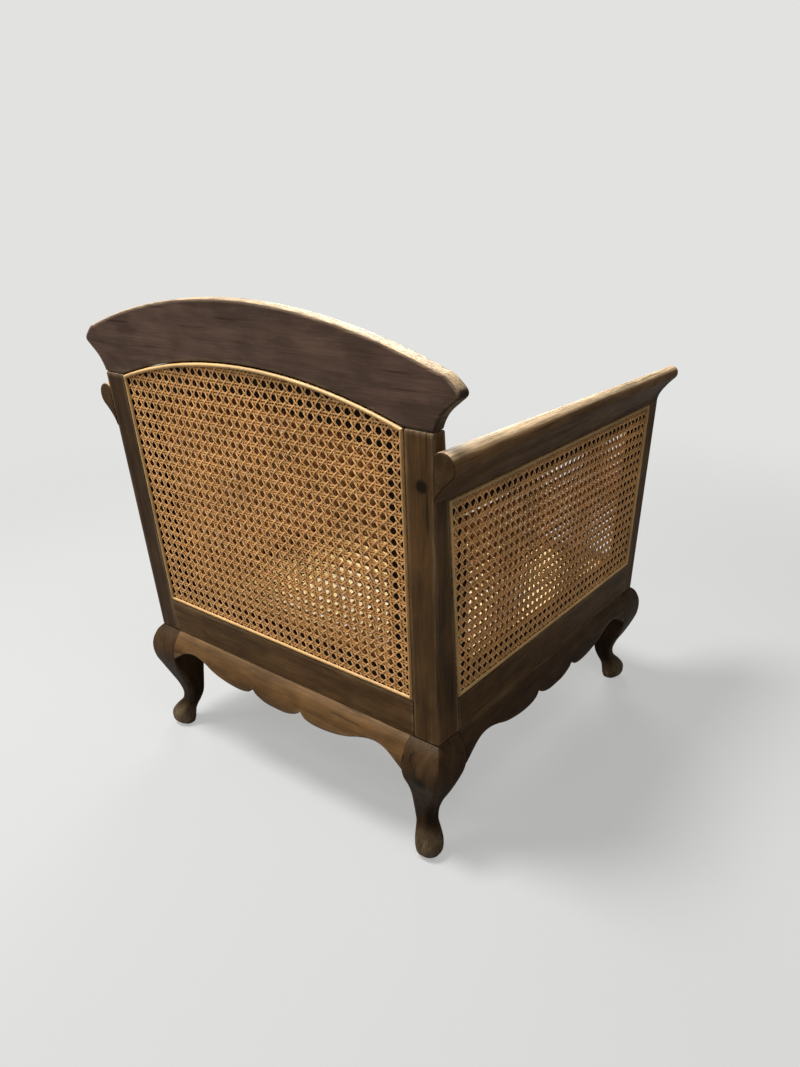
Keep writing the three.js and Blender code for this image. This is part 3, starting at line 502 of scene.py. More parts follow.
# %% Rings and outlines
def rings_to_faces(ring_count, size, looped=False):
    """Faces between rings of points, closed at both ends unless the rings run in a loop."""
    faces = []
    last = ring_count if looped else ring_count - 1
    for i in range(last):
        a, b = i * size, ((i + 1) % ring_count) * size
        faces += [(a + k, a + (k + 1) % size, b + (k + 1) % size, b + k) for k in range(size)]
    if not looped:
        end = (ring_count - 1) * size
        faces.append(tuple(reversed(range(size))))
        faces.append(tuple(range(end, end + size)))
    return faces


def mitred(outline, distance):
    """The outline moved inwards by a distance. It runs anticlockwise."""
    points = np.asarray(outline, float)
    before = points - np.roll(points, 1, axis=0)
    after = np.roll(points, -1, axis=0) - points
    before /= np.linalg.norm(before, axis=1)[:, None]
    after /= np.linalg.norm(after, axis=1)[:, None]
    first = np.stack([-before[:, 1], before[:, 0]], axis=1)
    second = np.stack([-after[:, 1], after[:, 0]], axis=1)
    return points + (first + second) * (distance / (1 + (first * second).sum(1)))[:, None]


print("faces of a tube with 3 rings of 4 points:", len(rings_to_faces(3, 4)))

# %% [markdown]
# ## Boards with eased arrises
# No old board has knife edges: the maker took the arris off with a plane, and hands did the
# rest. A board here is its outline, stacked in rings from one face to the other. The rings
# draw in over the last millimetre to round the arris, and they carry a mark that tells the
# wood finish where it is worn. A bevel modifier would round an arris with less work, but it
# leaves no such mark.

# %% Board rings
corner_turn = 25.0             # an outline that turns by this many degrees has a corner there
corner_steps = 4
run_share = 2.2                # an edge this many reaches long has room for both of its roundings


def side_directions(outline):
    """The direction of the outline's edge before each point, and of the edge after it."""
    before = outline - np.roll(outline, 1, axis=0)
    return before, np.roll(outline, -1, axis=0) - outline


def turn_between(before, after):
    """The angle between two edges in degrees, left turns positive."""
    cross = before[..., 0] * after[..., 1] - before[..., 1] * after[..., 0]
    return np.degrees(np.arctan2(cross, (before * after).sum(-1)))


def cleared(outline, room):
    """The outline without the close-set points that stand inside the rounding of a sharp corner."""
    sharp = turn_between(*side_directions(outline)) >= corner_turn
    keep = [bool(sharp[i]) or np.linalg.norm(outline[sharp] - p, axis=1).min(initial=math.inf) > room
            for i, p in enumerate(outline)]
    return outline[keep]


def board_ring(outline, radius, fade, inward):
    """One ring of a board at a distance inside its outline, with rounded corners, and its wear."""
    deep, shifted = mitred(outline, max(inward, radius)), mitred(outline, inward)
    ring = []
    for corner, before, after, inner, centre in zip(outline, *side_directions(outline), shifted, deep):
        run_in, run_out = np.linalg.norm(before), np.linalg.norm(after)
        before, after = before / run_in, after / run_out
        turn = turn_between(before, after)
        if turn < corner_turn:
            ring.append((inner, 0.0))
            continue
        in_before, in_after = np.array([-before[1], before[0]]), np.array([-after[1], after[0]])
        reach = radius * math.tan(math.radians(turn) / 2) + fade
        if run_in > run_share * reach:
            ring.append((corner - before * reach + in_before * inward, 0.0))
        for share in np.linspace(0, 1, corner_steps):
            out = -(in_before * (1 - share) + in_after * share)
            ring.append((centre + out / np.linalg.norm(out) * max(radius - inward, 0), 1.0))
        if run_out > run_share * reach:
            ring.append((corner + after * reach + in_after * inward, 0.0))
    return [place for place, _ in ring], np.array([worn for _, worn in ring])


# %% Eased board
eased_arris, arris_fade = 1.2 * MM, 4 * MM
corner_share = 1.3             # a corner is rounded this much more than an arris


def eased_board(outline, low, high, ease=eased_arris, fade=arris_fade):
    """Points, faces and wear marks of a board between two levels of w."""
    outline = cleared(np.asarray(outline, float), run_share * ease)
    # each row: how far in, how far from the face, wear of the arris, wear of the corners
    rows = [(ease + fade, 0.0, 0.0, 0.0)]
    rows += [(ease * (1 - math.sin(a)), ease * (1 - math.cos(a)), 1.0, 1.0)
             for a in np.radians([0, 30, 60, 90])]
    if high - low > 2 * (ease + fade):
        rows.append((0.0, ease + fade, 0.0, 1.0))
    points, marks = [], []
    for face, direction, order in ((low, 1, rows), (high, -1, rows[::-1])):
        for inward, depth, mark, corners in order:
            ring, worn = board_ring(outline, ease * corner_share, fade, inward)
            points += [(u, v, face + direction * depth) for u, v in ring]
            marks += list(np.maximum(worn * corners, mark))
    return points, rings_to_faces(2 * len(rows), len(ring)), marks


def wooden(name, node_name, outline, low, high, grain, carrier=flat, ease=eased_arris, fade=arris_fade):
    points, faces, marks = eased_board(outline, low, high, ease, fade)
    finish_piece(name, points, faces, woods[grain], [node_name], carrier, {"worn": marks})


# %% [markdown]
# ## Posts and rails
# The rear posts are raked: their front faces lean back more than their rear faces, so they
# taper upwards. A stretched cube can't do that, so each post is drawn as a board seen from the
# side. The rails between them are plain boards, flush outside. Each one stops a hair's breadth
# before its neighbour, which leaves the fine dark joint lines of old joinery.

# %% Posts and rails
post_ease, post_end = 2 * MM, post_top - gap
rear_post_outline = [(post_front(foot), foot), (rear_face(foot), foot),
                     (rear_face(post_end), post_end), (post_front(post_end), post_end)]
side_foot = base_height + side_rail_height
back_foot = base_height + back_rail_height
for side, carrier in sides.items():
    wooden(f"rear_post_{side}_planed", f"rear_post_{side}", rear_post_outline,
           -rear_post_width, 0, "leg" if side == "left" else "Z", carrier, post_ease)
    wooden(f"side_rail_{side}_planed", f"side_rail_{side}",
           [(side_front + gap, foot), (post_front(foot) - gap, foot),
            (post_front(side_foot) - gap, side_foot), (side_front + gap, side_foot)],
           -rail_thickness, 0, "Y", carrier)
wooden("back_rail_planed", "back_rail",
       [(-back_opening + gap, foot), (back_opening - gap, foot),
        (back_opening - gap, back_foot), (-back_opening + gap, back_foot)],
       -rail_thickness, 0, "X", on_back)
front_low, front_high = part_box("front_rail")
inner_face = half_width - front_post_thickness
on_front = (np.array([[1, 0, 0], [0, 0, 1], [0, 1, 0]]), np.array([0, front_low.y, 0]))
wooden("front_rail_planed", "front_rail",
       [(-inner_face + gap, front_low.z), (inner_face - gap, front_low.z),
        (inner_face - gap, front_high.z), (-inner_face + gap, front_high.z)],
       0, rail_thickness, "X", on_front)
print("posts end at", round(post_end, 4), "rails at", round(side_foot, 4), "and", round(back_foot, 4))

# %% [markdown]
# ## Cabriole legs
# Each leg is carved from a square block: it swells at the knee, draws in at the ankle and
# kicks out into a small pad foot. It could be sculpted by hand, but the four legs match, and a
# carver got that by working from a pattern of a few heights. The form here is a smooth curve
# through such a pattern, with the corners rounding off downwards.

# %% Leg pattern
leg_block, side_swell, end_swell = 48 * MM, 15 * MM, 23 * MM
foot_reach, foot_shift = 13.5 * MM, 8 * MM
# height, knee swell, foot reach, block depth, foot shift, roundness of open corners and at joints
leg_pattern = np.array([
    [1.000, 0.00, 0.00, 1.000, 0.00, 0.05, 0.02], [0.975, 0.30, 0.00, 1.000, 0.00, 0.05, 0.02],
    [0.920, 0.66, 0.00, 1.000, 0.00, 0.06, 0.02], [0.850, 0.92, 0.00, 1.000, 0.00, 0.08, 0.02],
    [0.775, 1.00, 0.00, 1.000, 0.00, 0.11, 0.02], [0.705, 0.93, 0.00, 0.970, 0.03, 0.14, 0.06],
    [0.630, 0.68, 0.00, 0.930, 0.12, 0.18, 0.14], [0.520, 0.24, 0.00, 0.890, 0.45, 0.23, 0.22],
    [0.415, 0.00, -0.28, 0.855, 0.85, 0.28, 0.28], [0.305, 0.00, -0.54, 0.790, 1.00, 0.32, 0.32],
    [0.245, 0.00, -0.31, 0.710, 1.00, 0.35, 0.35], [0.190, 0.00, 0.40, 0.630, 1.00, 0.38, 0.38],
    [0.135, 0.00, 0.92, 0.570, 1.00, 0.40, 0.40], [0.085, 0.00, 1.00, 0.540, 1.00, 0.41, 0.41],
    [0.032, 0.00, 0.78, 0.500, 1.00, 0.42, 0.42], [0.000, 0.00, 0.16, 0.440, 1.00, 0.44, 0.44]])


def through(rows, places):
    """A smooth curve through pattern rows whose first column falls or rises steadily."""
    keys = rows[:, 0] if rows[0, 0] < rows[-1, 0] else rows[::-1, 0]
    values = rows if rows[0, 0] < rows[-1, 0] else rows[::-1]
    slopes = np.gradient(values, keys, axis=0)
    made = []
    for place in places:
        i = min(max(int(np.searchsorted(keys, place)) - 1, 0), len(keys) - 2)
        h = keys[i + 1] - keys[i]
        t = (place - keys[i]) / h
        made.append(values[i] * (1 + 2 * t) * (1 - t) ** 2 + slopes[i] * h * t * (1 - t) ** 2
                    + values[i + 1] * t * t * (3 - 2 * t) - slopes[i + 1] * h * t * t * (1 - t))
    return np.array(made)


widest = leg_pattern[leg_pattern[:, 1].argmax(), 0]
print("the knee is widest", round(widest * base_height / MM), "mm above the floor")

# %% Legs
round_steps = 7


def leg_ring(row):
    height, knee, kick, depth, shift, open_round, joint_round = row
    move, reach = foot_shift * shift, foot_reach * kick
    x1 = half_width + side_swell * knee + reach - move
    x0 = half_width - leg_block * depth - move
    y1 = half_depth + end_swell * knee + reach + move
    y0 = half_depth - leg_block * depth + move
    section, ring = min(x1 - x0, y1 - y0), []
    for x, y, turn in [(x1, y1, 0), (x0, y1, 1), (x0, y0, 2), (x1, y0, 3)]:
        radius = section * (joint_round if turn % 2 else open_round)
        cx = x - radius if x == x1 else x + radius
        cy = y - radius if y == y1 else y + radius
        ring += [(cx + radius * math.cos(a), cy + radius * math.sin(a), height * base_height)
                 for a in (turn + np.linspace(0, 1, round_steps)) * math.pi / 2]
    return ring


# places up the leg as shares of its height, closer together under the foot
heights = np.concatenate([[0.0, 0.006, 0.018], np.linspace(0.04, 0.985, 56), [1.0]])
leg_rows = through(leg_pattern, heights)
leg_points = np.array([p for row in leg_rows for p in leg_ring(row)])
leg_count = len(leg_points) // len(heights)
leg_faces = rings_to_faces(len(heights), leg_count)
corner_mark = np.tile(np.tile(1 - np.abs(np.linspace(-1, 1, round_steps)), 4), len(heights))
knee_wear, knee_share = 0.35, 0.5      # the corners are worn a little above this share of the height
leg_worn = knee_wear * corner_mark * np.repeat(heights > knee_share, leg_count)
for end, y_sign in (("rear", 1), ("front", -1)):
    for side, x_sign in (("left", 1), ("right", -1)):
        carrier = (np.diag([x_sign, y_sign, 1.0]), np.zeros(3))
        finish_piece(f"{end}_leg_{side}_carved", leg_points, leg_faces, woods["leg"],
                     [f"{end}_leg_{side}"], carrier, {"worn": leg_worn}, 50)
print("leg rings", len(heights))

# %% [markdown]
# ## Scalloped aprons
# The aprons join the knees and bulge with them. Their lower edge is sawn in two lobes on each
# side of the middle, which meet in a sharp nick, and it runs out into an arch beside the leg.
# An outline pushed straight through would be flat outside. So the board is swept from one end
# to the other, one ring for each place along that edge, and each ring swells as the knee does.

# %% Aprons
apron_inset = 24 * MM
end_apron_height, side_apron_height = 47 * MM, 52 * MM
apron_ease, apron_steps = 2 * MM, 12
# wear round the board's section, from its lower edge up the outside and down the inside
apron_wear = [1.0, 1.0, 1.0, 0.8, 0.2, *[0.0] * (apron_steps - 3), 0.3, 0.0, 0.0, 0.0]
nick = 4                       # the row of the edge where the two lobes meet
apron_edge = np.array([
    [0.000, 1.000], [0.080, 0.985], [0.143, 0.900], [0.187, 0.790], [0.212, 0.680],
    [0.236, 0.810], [0.278, 0.900], [0.338, 0.940], [0.405, 0.930], [0.497, 0.870],
    [0.596, 0.750], [0.675, 0.605], [0.755, 0.510], [0.826, 0.510], [0.894, 0.610],
    [0.946, 0.765], [1.000, 0.975]])
inner_steps, outer_steps = 14, 44
inner_lobe = through(apron_edge[:nick + 1], np.linspace(0, apron_edge[nick, 0], inner_steps))
outer_lobe = through(apron_edge[nick:], np.linspace(apron_edge[nick, 0], 1, outer_steps))[1:]
half_edge = np.concatenate([inner_lobe, outer_lobe])
full_edge = np.concatenate([half_edge[:0:-1] * [-1, 1], half_edge])


def apron(name, node_name, half_length, height, face, swell, grain, carrier):
    ease, steps = apron_ease, apron_steps
    points, marks = [], []
    for u, v in full_edge:
        drop = v * height
        levels = base_height - (drop - ease) * np.linspace(1, 0, steps)
        knee = through(leg_pattern, levels / base_height)[:, 1]
        outer = face + swell * knee
        x = u * half_length
        low = base_height - drop
        ring = [(x, outer[0] - ease * (1 - math.cos(a)), low + ease * (1 - math.sin(a)))
                for a in np.radians([90, 60, 30])]
        ring += [(x, y, z) for y, z in zip(outer, levels)]
        ring += [(x, face - apron_inset, base_height), (x, face - apron_inset, low + ease),
                 (x, face - apron_inset + ease, low)]
        points += ring
        marks += apron_wear
    faces = rings_to_faces(len(full_edge), len(ring))
    finish_piece(name, points, faces, woods[grain],
                 [node_name], carrier, {"worn": marks}, 45)


half_end = half_width - leg_block - gap
half_side = half_depth - leg_block - gap
for end, y_sign in (("rear", 1), ("front", -1)):
    apron(f"{end}_apron_carved", f"{end}_apron", half_end, end_apron_height, half_depth, end_swell, "X",
          (np.diag([1.0, y_sign, 1.0]), np.zeros(3)))
for side, x_sign in (("left", 1), ("right", -1)):
    apron(f"side_apron_{side}_carved", f"side_apron_{side}", half_side, side_apron_height, half_width,
          side_swell, "side_apron", (np.array([[0, -1, 0], [x_sign, 0, 0], [0, 0, 1.0]]), np.zeros(3)))
print("apron rings", len(full_edge))

# %% [markdown]
# ## Arched crest
# The crest is one wide board, sawn to a flat arch over the cane and drawn out into an ear at
# each end. Its outline is a curve through the ear, a long flat arc and the same ear mirrored,
# and the board maker above does the rest. Its arrises are rounded far more than the others, so
# its top edge catches the light as a bright band.

# %% Crest
crest_thickness, crest_apex = 20 * MM, 745.5 * MM
crest_ease, crest_fade = 3.2 * MM, 1.3 * MM
ear_steps, top_steps, under_steps = 60, 90, 70
arch_rise, ear_reach, ear_height = 39 * MM, 33.3 * MM, 64.6 * MM
ear_edge = np.array([
    [0.000, 0.000], [0.050, 0.080], [0.110, 0.153], [0.190, 0.226], [0.290, 0.300],
    [0.450, 0.387], [0.626, 0.463], [0.774, 0.525], [0.920, 0.588], [0.980, 0.625],
    [1.000, 0.673], [0.967, 0.724], [0.873, 0.780], [0.705, 0.856], [0.533, 0.922],
    [0.390, 0.965], [0.150, 1.000]])


def arch(half, spring, rise, steps):
    """Points of a flat arch from its right end (+u) to its left."""
    radius = (half * half + rise * rise) / (2 * rise)
    sweep = math.asin(half / radius)
    angles = np.linspace(sweep, -sweep, steps + 1)
    return np.stack([radius * np.sin(angles), spring + rise - radius + radius * np.cos(angles)], axis=1)


# a first column that rises steadily lets the curve run through the ear's edge, point by point
numbered = np.concatenate([np.arange(len(ear_edge))[:, None] / (len(ear_edge) - 1), ear_edge], axis=1)
ear_curve = through(numbered, np.linspace(0, 1, ear_steps))[:, 1:]
ear = ear_curve * [ear_reach, ear_height] + [half_width, post_top]
top = arch(ear[-1, 0], ear[-1, 1], crest_apex - ear[-1, 1], top_steps)[1:-1]
under = arch(back_opening, post_top, arch_rise, under_steps)[::-1]
crest_outline = np.concatenate([ear, top, (ear * [-1, 1])[::-1], under])
wooden("crest_rail_shaped", "crest_rail", crest_outline, -crest_thickness, 0, "crest", on_back,
       crest_ease, crest_fade)
print("crest outline points", len(crest_outline))

# %% [markdown]
# ## Scroll arms
# An arm is one moulded rail: a cove rises from the flat side into a round scroll, where the
# hand rests. The scroll grows thinner and dips towards the front. The moulding is swept along
# the arm, and the posts are then cut out of it, as the joiner scribes the arm over them.

# %% Arm moulding
scroll_radius, scroll_overhang, scroll_fall, front_share = 17.5 * MM, 28 * MM, 7 * MM, 0.6
scroll_height, scroll_joint_drop, cove_height = 595 * MM, 12 * MM, 30 * MM
arm_front, arm_rear = -half_depth, rear_face(scroll_height)
arm_joint, post_joint = scroll_height - scroll_joint_drop, arm_underside + gap
scroll_steps, cove_steps, fall_steps = 25, 10, 12


def bow(a, b, c, steps):
    """A quadratic curve from a to c that leans towards b."""
    t = np.linspace(0, 1, steps + 1)[:, None]
    return (np.array(a) * (1 - t) ** 2 + 2 * np.array(b) * t * (1 - t) + np.array(c) * t * t)


def arm_profile(y):
    """The moulding's section at one place along the arm, as points in x and z."""
    along = (arm_rear - y) / (arm_rear - arm_front)
    radius = scroll_radius * (1 - (1 - front_share) * along)
    x, base = half_width + scroll_overhang - radius, post_joint
    centre = scroll_height + scroll_radius - scroll_fall * along - radius
    angles = np.linspace(-math.pi / 4, math.pi * 3 / 4, scroll_steps)
    scroll = np.stack([x + radius * np.cos(angles), centre + radius * np.sin(angles)], axis=1)
    cove = bow((half_width, base), (half_width, arm_underside + cove_height / 2), scroll[0], cove_steps)
    fall = bow(scroll[-1], (inner_face, arm_underside + cove_height), (inner_face, base), fall_steps)
    return np.concatenate([cove[:-1], scroll, fall[1:]])


print("arm", round((arm_rear - arm_front) / MM), "mm long, scroll", round(2 * scroll_radius / MM), "mm thick")

# %% Mouldings and cuts
end_ease, arm_stations = 1.5 * MM, 14
end_shares = (0.0, 1.0), (0.5, 0.13), (1.0, 0.0)       # along and inwards, as shares of the ease


def moulding(name, y0, y1):
    """The arm moulding between two places, with its ends eased, as a mesh."""
    cuts = [(y0 + end_ease * along, end_ease * inward) for along, inward in end_shares]
    cuts += [(y, 0.0) for y in np.linspace(y0 + 3 * end_ease, y1 - 3 * end_ease, arm_stations)]
    cuts += [(y1 - end_ease * along, end_ease * inward) for along, inward in end_shares[::-1]]
    points = []
    for y, inward in cuts:
        points += [(x, y, z) for x, z in mitred(arm_profile(y), inward)]
    size = len(points) // len(cuts)
    mesh = bpy.data.meshes.new(name)
    faces = [tuple(reversed(f)) for f in rings_to_faces(len(cuts), size)]
    mesh.from_pydata(points, [], faces)
    return mesh


def block(name, outline, x0, x1):
    """A cutter with an outline in y and z, between two levels of x."""
    mesh = bpy.data.meshes.new(name)
    mesh.from_pydata([(x, y, z) for x in (x0, x1) for y, z in outline], [], rings_to_faces(2, len(outline)))
    return mesh


def combined(first, second, operation):
    """The first mesh with the second one cut out of it, or only what lies inside the second."""
    wood, cutter = bpy.data.objects.new("wood", first), bpy.data.objects.new("cutter", second)
    for each in (wood, cutter):
        bpy.context.scene.collection.objects.link(each)
    step = wood.modifiers.new("step", "BOOLEAN")
    step.operation, step.object, step.solver = operation, cutter, "EXACT"
    bpy.context.view_layer.update()
    made = bpy.data.meshes.new_from_object(wood.evaluated_get(bpy.context.evaluated_depsgraph_get()))
    for each in (wood, cutter):
        bpy.data.objects.remove(each)
    return made


# %% Arms and front posts
spare = 30 * MM                # how far a cutter runs past what it cuts
rear_room = [(post_front(arm_underside) - gap, arm_underside - spare),
             (arm_rear + spare, arm_underside - spare), (arm_rear + spare, post_top),
             (post_front(post_top) - gap, post_top)]
front_room = [(arm_front - spare, arm_underside - spare), (side_front + gap, arm_underside - spare),
              (side_front + gap, arm_joint + gap), (arm_front - spare, arm_joint + gap)]
front_zone = [(arm_front - spare, arm_underside - spare), (side_front, arm_underside - spare),
              (side_front, arm_joint), (arm_front - spare, arm_joint)]


def as_piece(name, mesh, node_name, grain, x_sign):
    points = np.array([v.co for v in mesh.vertices]) * [x_sign, 1, 1]
    faces = [tuple(p.vertices) if x_sign > 0 else tuple(reversed(p.vertices)) for p in mesh.polygons]
    finish_piece(name, points, faces, woods[grain], [node_name], flat,
                 {"worn": np.zeros(len(points))})


for side, x_sign in (("left", 1), ("right", -1)):
    arm = moulding("arm", arm_front, arm_rear)
    arm = combined(arm, block("rear_room", rear_room, inner_face - spare, half_width + gap), "DIFFERENCE")
    arm = combined(arm, block("front_room", front_room, 0, half_width * 2), "DIFFERENCE")
    as_piece(f"arm_rail_{side}_moulded", arm, f"arm_rail_{side}", "arm", x_sign)
    head = combined(moulding("head", arm_front, side_front + spare),
                    block("front_zone", front_zone, 0, half_width * 2), "INTERSECT")
    as_piece(f"front_post_head_{side}_moulded", head, f"front_post_{side}", "Z", x_sign)
    wooden(f"front_post_{side}_planed", f"front_post_{side}",
           [(arm_front, foot), (side_front, foot), (side_front, post_joint), (arm_front, post_joint)],
           -front_post_thickness, 0, "Z", sides[side])
    print(side, "arm faces", len(arm.polygons))

# %% [markdown]
# ## Woven cane
# The weave is the six-way pattern of hand caning: pairs of strands up, pairs across, and one
# strand along each diagonal. The diagonals cross midway between the pairs, which leaves the
# eight-sided holes. Each strand is modelled, strays a little from its line, and is lifted over
# or under its neighbours. A flat sheet with a picture of holes would be far lighter, but it has
# no strands to catch the light or to shade each other. The inner sheet of the back and of each
# side has another pitch and leans a little, so the holes of both sheets fall together only in
# patches, where light comes through.

# %% Strands
shortest_strand = 2 * MM       # shorter bits, at the panel's corners, are left out
parallel = 1e-12               # a line that turns from an edge by less than this runs beside it
nearest_share = 0.05           # two places on a strand are at least this share of a step apart
strand_thickness = 0.45 * MM
edge_share, bark_share = 0.35, 0.5     # how low its edges and how high its bark lie, of its thickness
edge_painted_shade = 0.08                       # painted shade: a strand's edges are darker than its bark, as if they curved away into shadow


def clipped(outline, start, direction):
    """Where a line runs inside a convex outline: its two distances from start, or None."""
    low, high = -math.inf, math.inf
    for corner, following in zip(outline, np.roll(outline, -1, axis=0)):
        inward = np.array([corner[1] - following[1], following[0] - corner[0]])
        rate, room = direction @ inward, (start - corner) @ inward
        if abs(rate) < parallel:
            if room < 0:
                return None
            continue
        cut = -room / rate
        low, high = (max(low, cut), high) if rate > 0 else (low, min(high, cut))
    return (low, high) if high - low > shortest_strand else None


def stations(low, high, step):
    """Places along a strand: its two ends, and every whole step that isn't too near to one before it."""
    whole = np.arange(math.ceil(low / step), math.floor(high / step) + 1) * step
    stops = np.unique(np.concatenate([[low], whole, [high]]))
    return stops[np.concatenate([[True], np.diff(stops) > step * nearest_share])]


def add_strand(sheet, outline, start, direction, step, width, level, lift, face, tone):
    """Adds one strand to a sheet's points, faces and tones. lift raises it from place to place."""
    run = clipped(outline, start, direction)
    if run is None:
        return
    points, faces, tones = sheet
    across = np.array([-direction[1], direction[0]]) * width / 2
    base, stops = len(points), stations(*run, step)
    for stop in stops:
        x, y = start + direction * stop
        w = level + lift(x, y)
        edge = w - face * strand_thickness * edge_share
        points.append((x - across[0], y - across[1], edge))
        points.append((x, y, w + face * strand_thickness * bark_share))
        points.append((x + across[0], y + across[1], edge))
        tones.extend([tone * edge_painted_shade, tone, tone * edge_painted_shade])
    for i in range(len(stops) - 1):
        a, b = base + 3 * i, base + 3 * i + 3
        faces.extend([(a, b, b + 1, a + 1), (a + 1, b + 1, b + 2, a + 2), (a + 2, b + 2, b, a)])
    faces.append((base, base + 1, base + 2))
    faces.append((len(points) - 1, len(points) - 2, len(points) - 3))


# %% Woven sheet
wander = 0.25 * MM                     # how far a hand-laid strand strays from its line
pair_lift, cross_lift, diagonal_lift = 0.3 * MM, 0.2 * MM, 0.75 * MM
open_pair, tight_pair = 0.78, 0.56     # half the distance between the two of a pair, in strand widths
# each strand's tone is drawn at random, but the diagonals on top are set lighter as painted light and the
# pairs beneath darker as painted shade
upright_tone_and_shade, level_tone_and_shade, diagonal_tone_and_light = (0.2, 0.5), (0.55, 0.9), (0.95, 1.1)
upright_run = 20                       # uprights are straight, so their points stand this many holes apart
level_steps, diagonal_steps = 4, 6     # the others bend, and have this many points from hole to hole
rng = np.random.default_rng(7)


def woven_sheet(outline, pitch_u, pitch_v, phase, skew, level, strand, pair_spread, face):
    """Points, faces and tones of one cane sheet. face is 1 or -1: the way the bark looks.
    skew says how far the upright and the level strands lean, as a rise over a run."""
    outline, pitch = np.asarray(outline, float), np.array([pitch_u, pitch_v])
    low, high = outline.min(0), outline.max(0)
    middle = (low + high) / 2 + np.array(phase) * pitch
    spread = pair_spread * strand
    least = np.floor((low - middle) / pitch).astype(int) - 1
    most = np.ceil((high - middle) / pitch).astype(int) + 2
    cols, rows = np.arange(least[0], most[0]), np.arange(least[1], most[1])
    sheet = points, faces, tones = [], [], []

    def lay(start, direction, step, lift, tone):
        add_strand(sheet, outline, start, direction, step, strand, level, lift, face, tone)

    def turn_of(x, y):
        return 2 * math.pi * (x - middle[0] + skew[0] * (y - middle[1])) / pitch_u

    def cross(x, y):
        return -cross_lift * math.sin(turn_of(x, y))

    def over_pairs(x, y):
        return diagonal_lift * math.cos(turn_of(x, y))

    def under_pairs(x, y):
        return -over_pairs(x, y)

    up, along = np.array([-skew[0], 1.0]), np.array([1.0, -skew[1]])
    rising, falling = (pitch_u * along + pitch_v * up, pitch_u * along - pitch_v * up)
    length = math.hypot(pitch_u, pitch_v)
    for i in cols:
        for sign in (-1, 1):
            place = middle[0] + i * pitch_u + sign * spread + rng.normal(0, wander)
            lay(np.array([place, middle[1]]), up, upright_run * pitch_v,
                lambda x, y, s=sign: s * pair_lift, rng.uniform(*upright_tone_and_shade))
    for j in rows:
        for sign in (-1, 1):
            place = middle[1] + j * pitch_v + sign * spread + rng.normal(0, wander)
            lay(np.array([middle[0], place]), along, pitch_u / level_steps, cross, rng.uniform(*level_tone_and_shade))
    reach = len(cols) + len(rows)
    for k in range(-reach, reach):
        start = middle + np.array([pitch_u * (k + 0.5) + rng.normal(0, wander), 0.0])
        lay(start, rising / length, length / diagonal_steps, over_pairs, rng.uniform(*diagonal_tone_and_light))
        lay(start, falling / length, length / diagonal_steps, under_pairs, rng.uniform(*diagonal_tone_and_light))
    if face < 0:
        faces = [tuple(reversed(f)) for f in faces]
    return points, faces, tones


# %% [markdown]
# ## Outlines of the caned panels
# The cane covers a whole panel up to the posts and rails. Each outline is worked out from the
# opening in the frame and drawn in by the width that a member or a reed takes.

# %% Panel outlines
arch_steps = 24
cane_thickness, cane_margin, panel_recess = 1.6 * MM, 1.5 * MM, 1.9 * MM
reed_width, reed_height = 6.5 * MM, 3 * MM
reed_inset = 1.1 * MM          # the reed starts this far inside the panel's edge


def back_outline(side=0.0, low=0.0, top=0.0):
    half = back_opening - gap - side
    radius = (back_opening ** 2 + arch_rise ** 2) / (2 * arch_rise)
    centre = post_top + arch_rise - radius
    inner = radius - gap - top
    shoulder = centre + math.sqrt(inner ** 2 - half ** 2)
    base = back_foot + gap + low
    arched = arch(half, shoulder, centre + inner - shoulder, arch_steps)
    return np.concatenate([[(-half, base), (half, base)], arched])


def side_outline(side=0.0, low=0.0, top=0.0):
    front, base, head = side_front + gap + side, side_foot + gap + low, arm_underside - top
    return np.array([(front, base), (post_front(base) - gap - side, base),
                     (post_front(head) - gap - side, head), (front, head)])


def level_of(thickness):
    """Middle levels of the outer and inner sheets, and the level of the inner reed."""
    outer = -panel_recess - cane_thickness / 2
    back = -panel_recess - cane_thickness - gap - thickness
    return outer, back - gap - cane_thickness / 2, back - 2 * gap - cane_thickness


# the members of the panel frames: stiles, then bottom and top rail
stile_width = 35 * MM
back_sill, back_head, back_frame_thickness = 22 * MM, 45 * MM, 20 * MM
side_sill, side_head, side_frame_thickness = 18 * MM, 30 * MM, 16 * MM
lap = reed_width + cane_margin         # how far the inner cane lies over its frame
back_inner = back_outline(stile_width - lap, back_sill - lap, back_head - lap)
side_inner = side_outline(stile_width - lap, side_sill - lap, side_head - lap)
print("outline points:", len(back_inner), "round the back,", len(side_inner), "round a side")

# %% Back and side cane
strand_width, back_inner_strand, side_inner_strand = 2.3 * MM, 3.4 * MM, 3.8 * MM
back_pitch, side_pitch = (15.2 * MM, 14.8 * MM), (14.0 * MM, 14.8 * MM)
back_inner_pitch, side_inner_pitch = (15.3 * MM, 14.5 * MM), (13.6 * MM, 14.4 * MM)
back_inner_skew, side_inner_skew = (0.019, -0.011), (0.007, -0.012)
# how far the inner sheets' holes stand off the middle of the panel, in holes
back_inner_phase, side_inner_phase = (0.39, 0.71), (0.565, 0.045)


def cane(name, node_name, outline, pitch, phase, level, face, carrier,
         finish=panel_cane, strand=strand_width, skew=(0.0, 0.0), pairs=open_pair):
    points, faces, tones = woven_sheet(outline, *pitch, phase, skew, level, strand, pairs, face)
    finish_piece(name, points, faces, finish, [node_name], carrier, {"tone": tones}, 50)
    print(name, "triangles", sum(len(f) - 2 for f in faces))


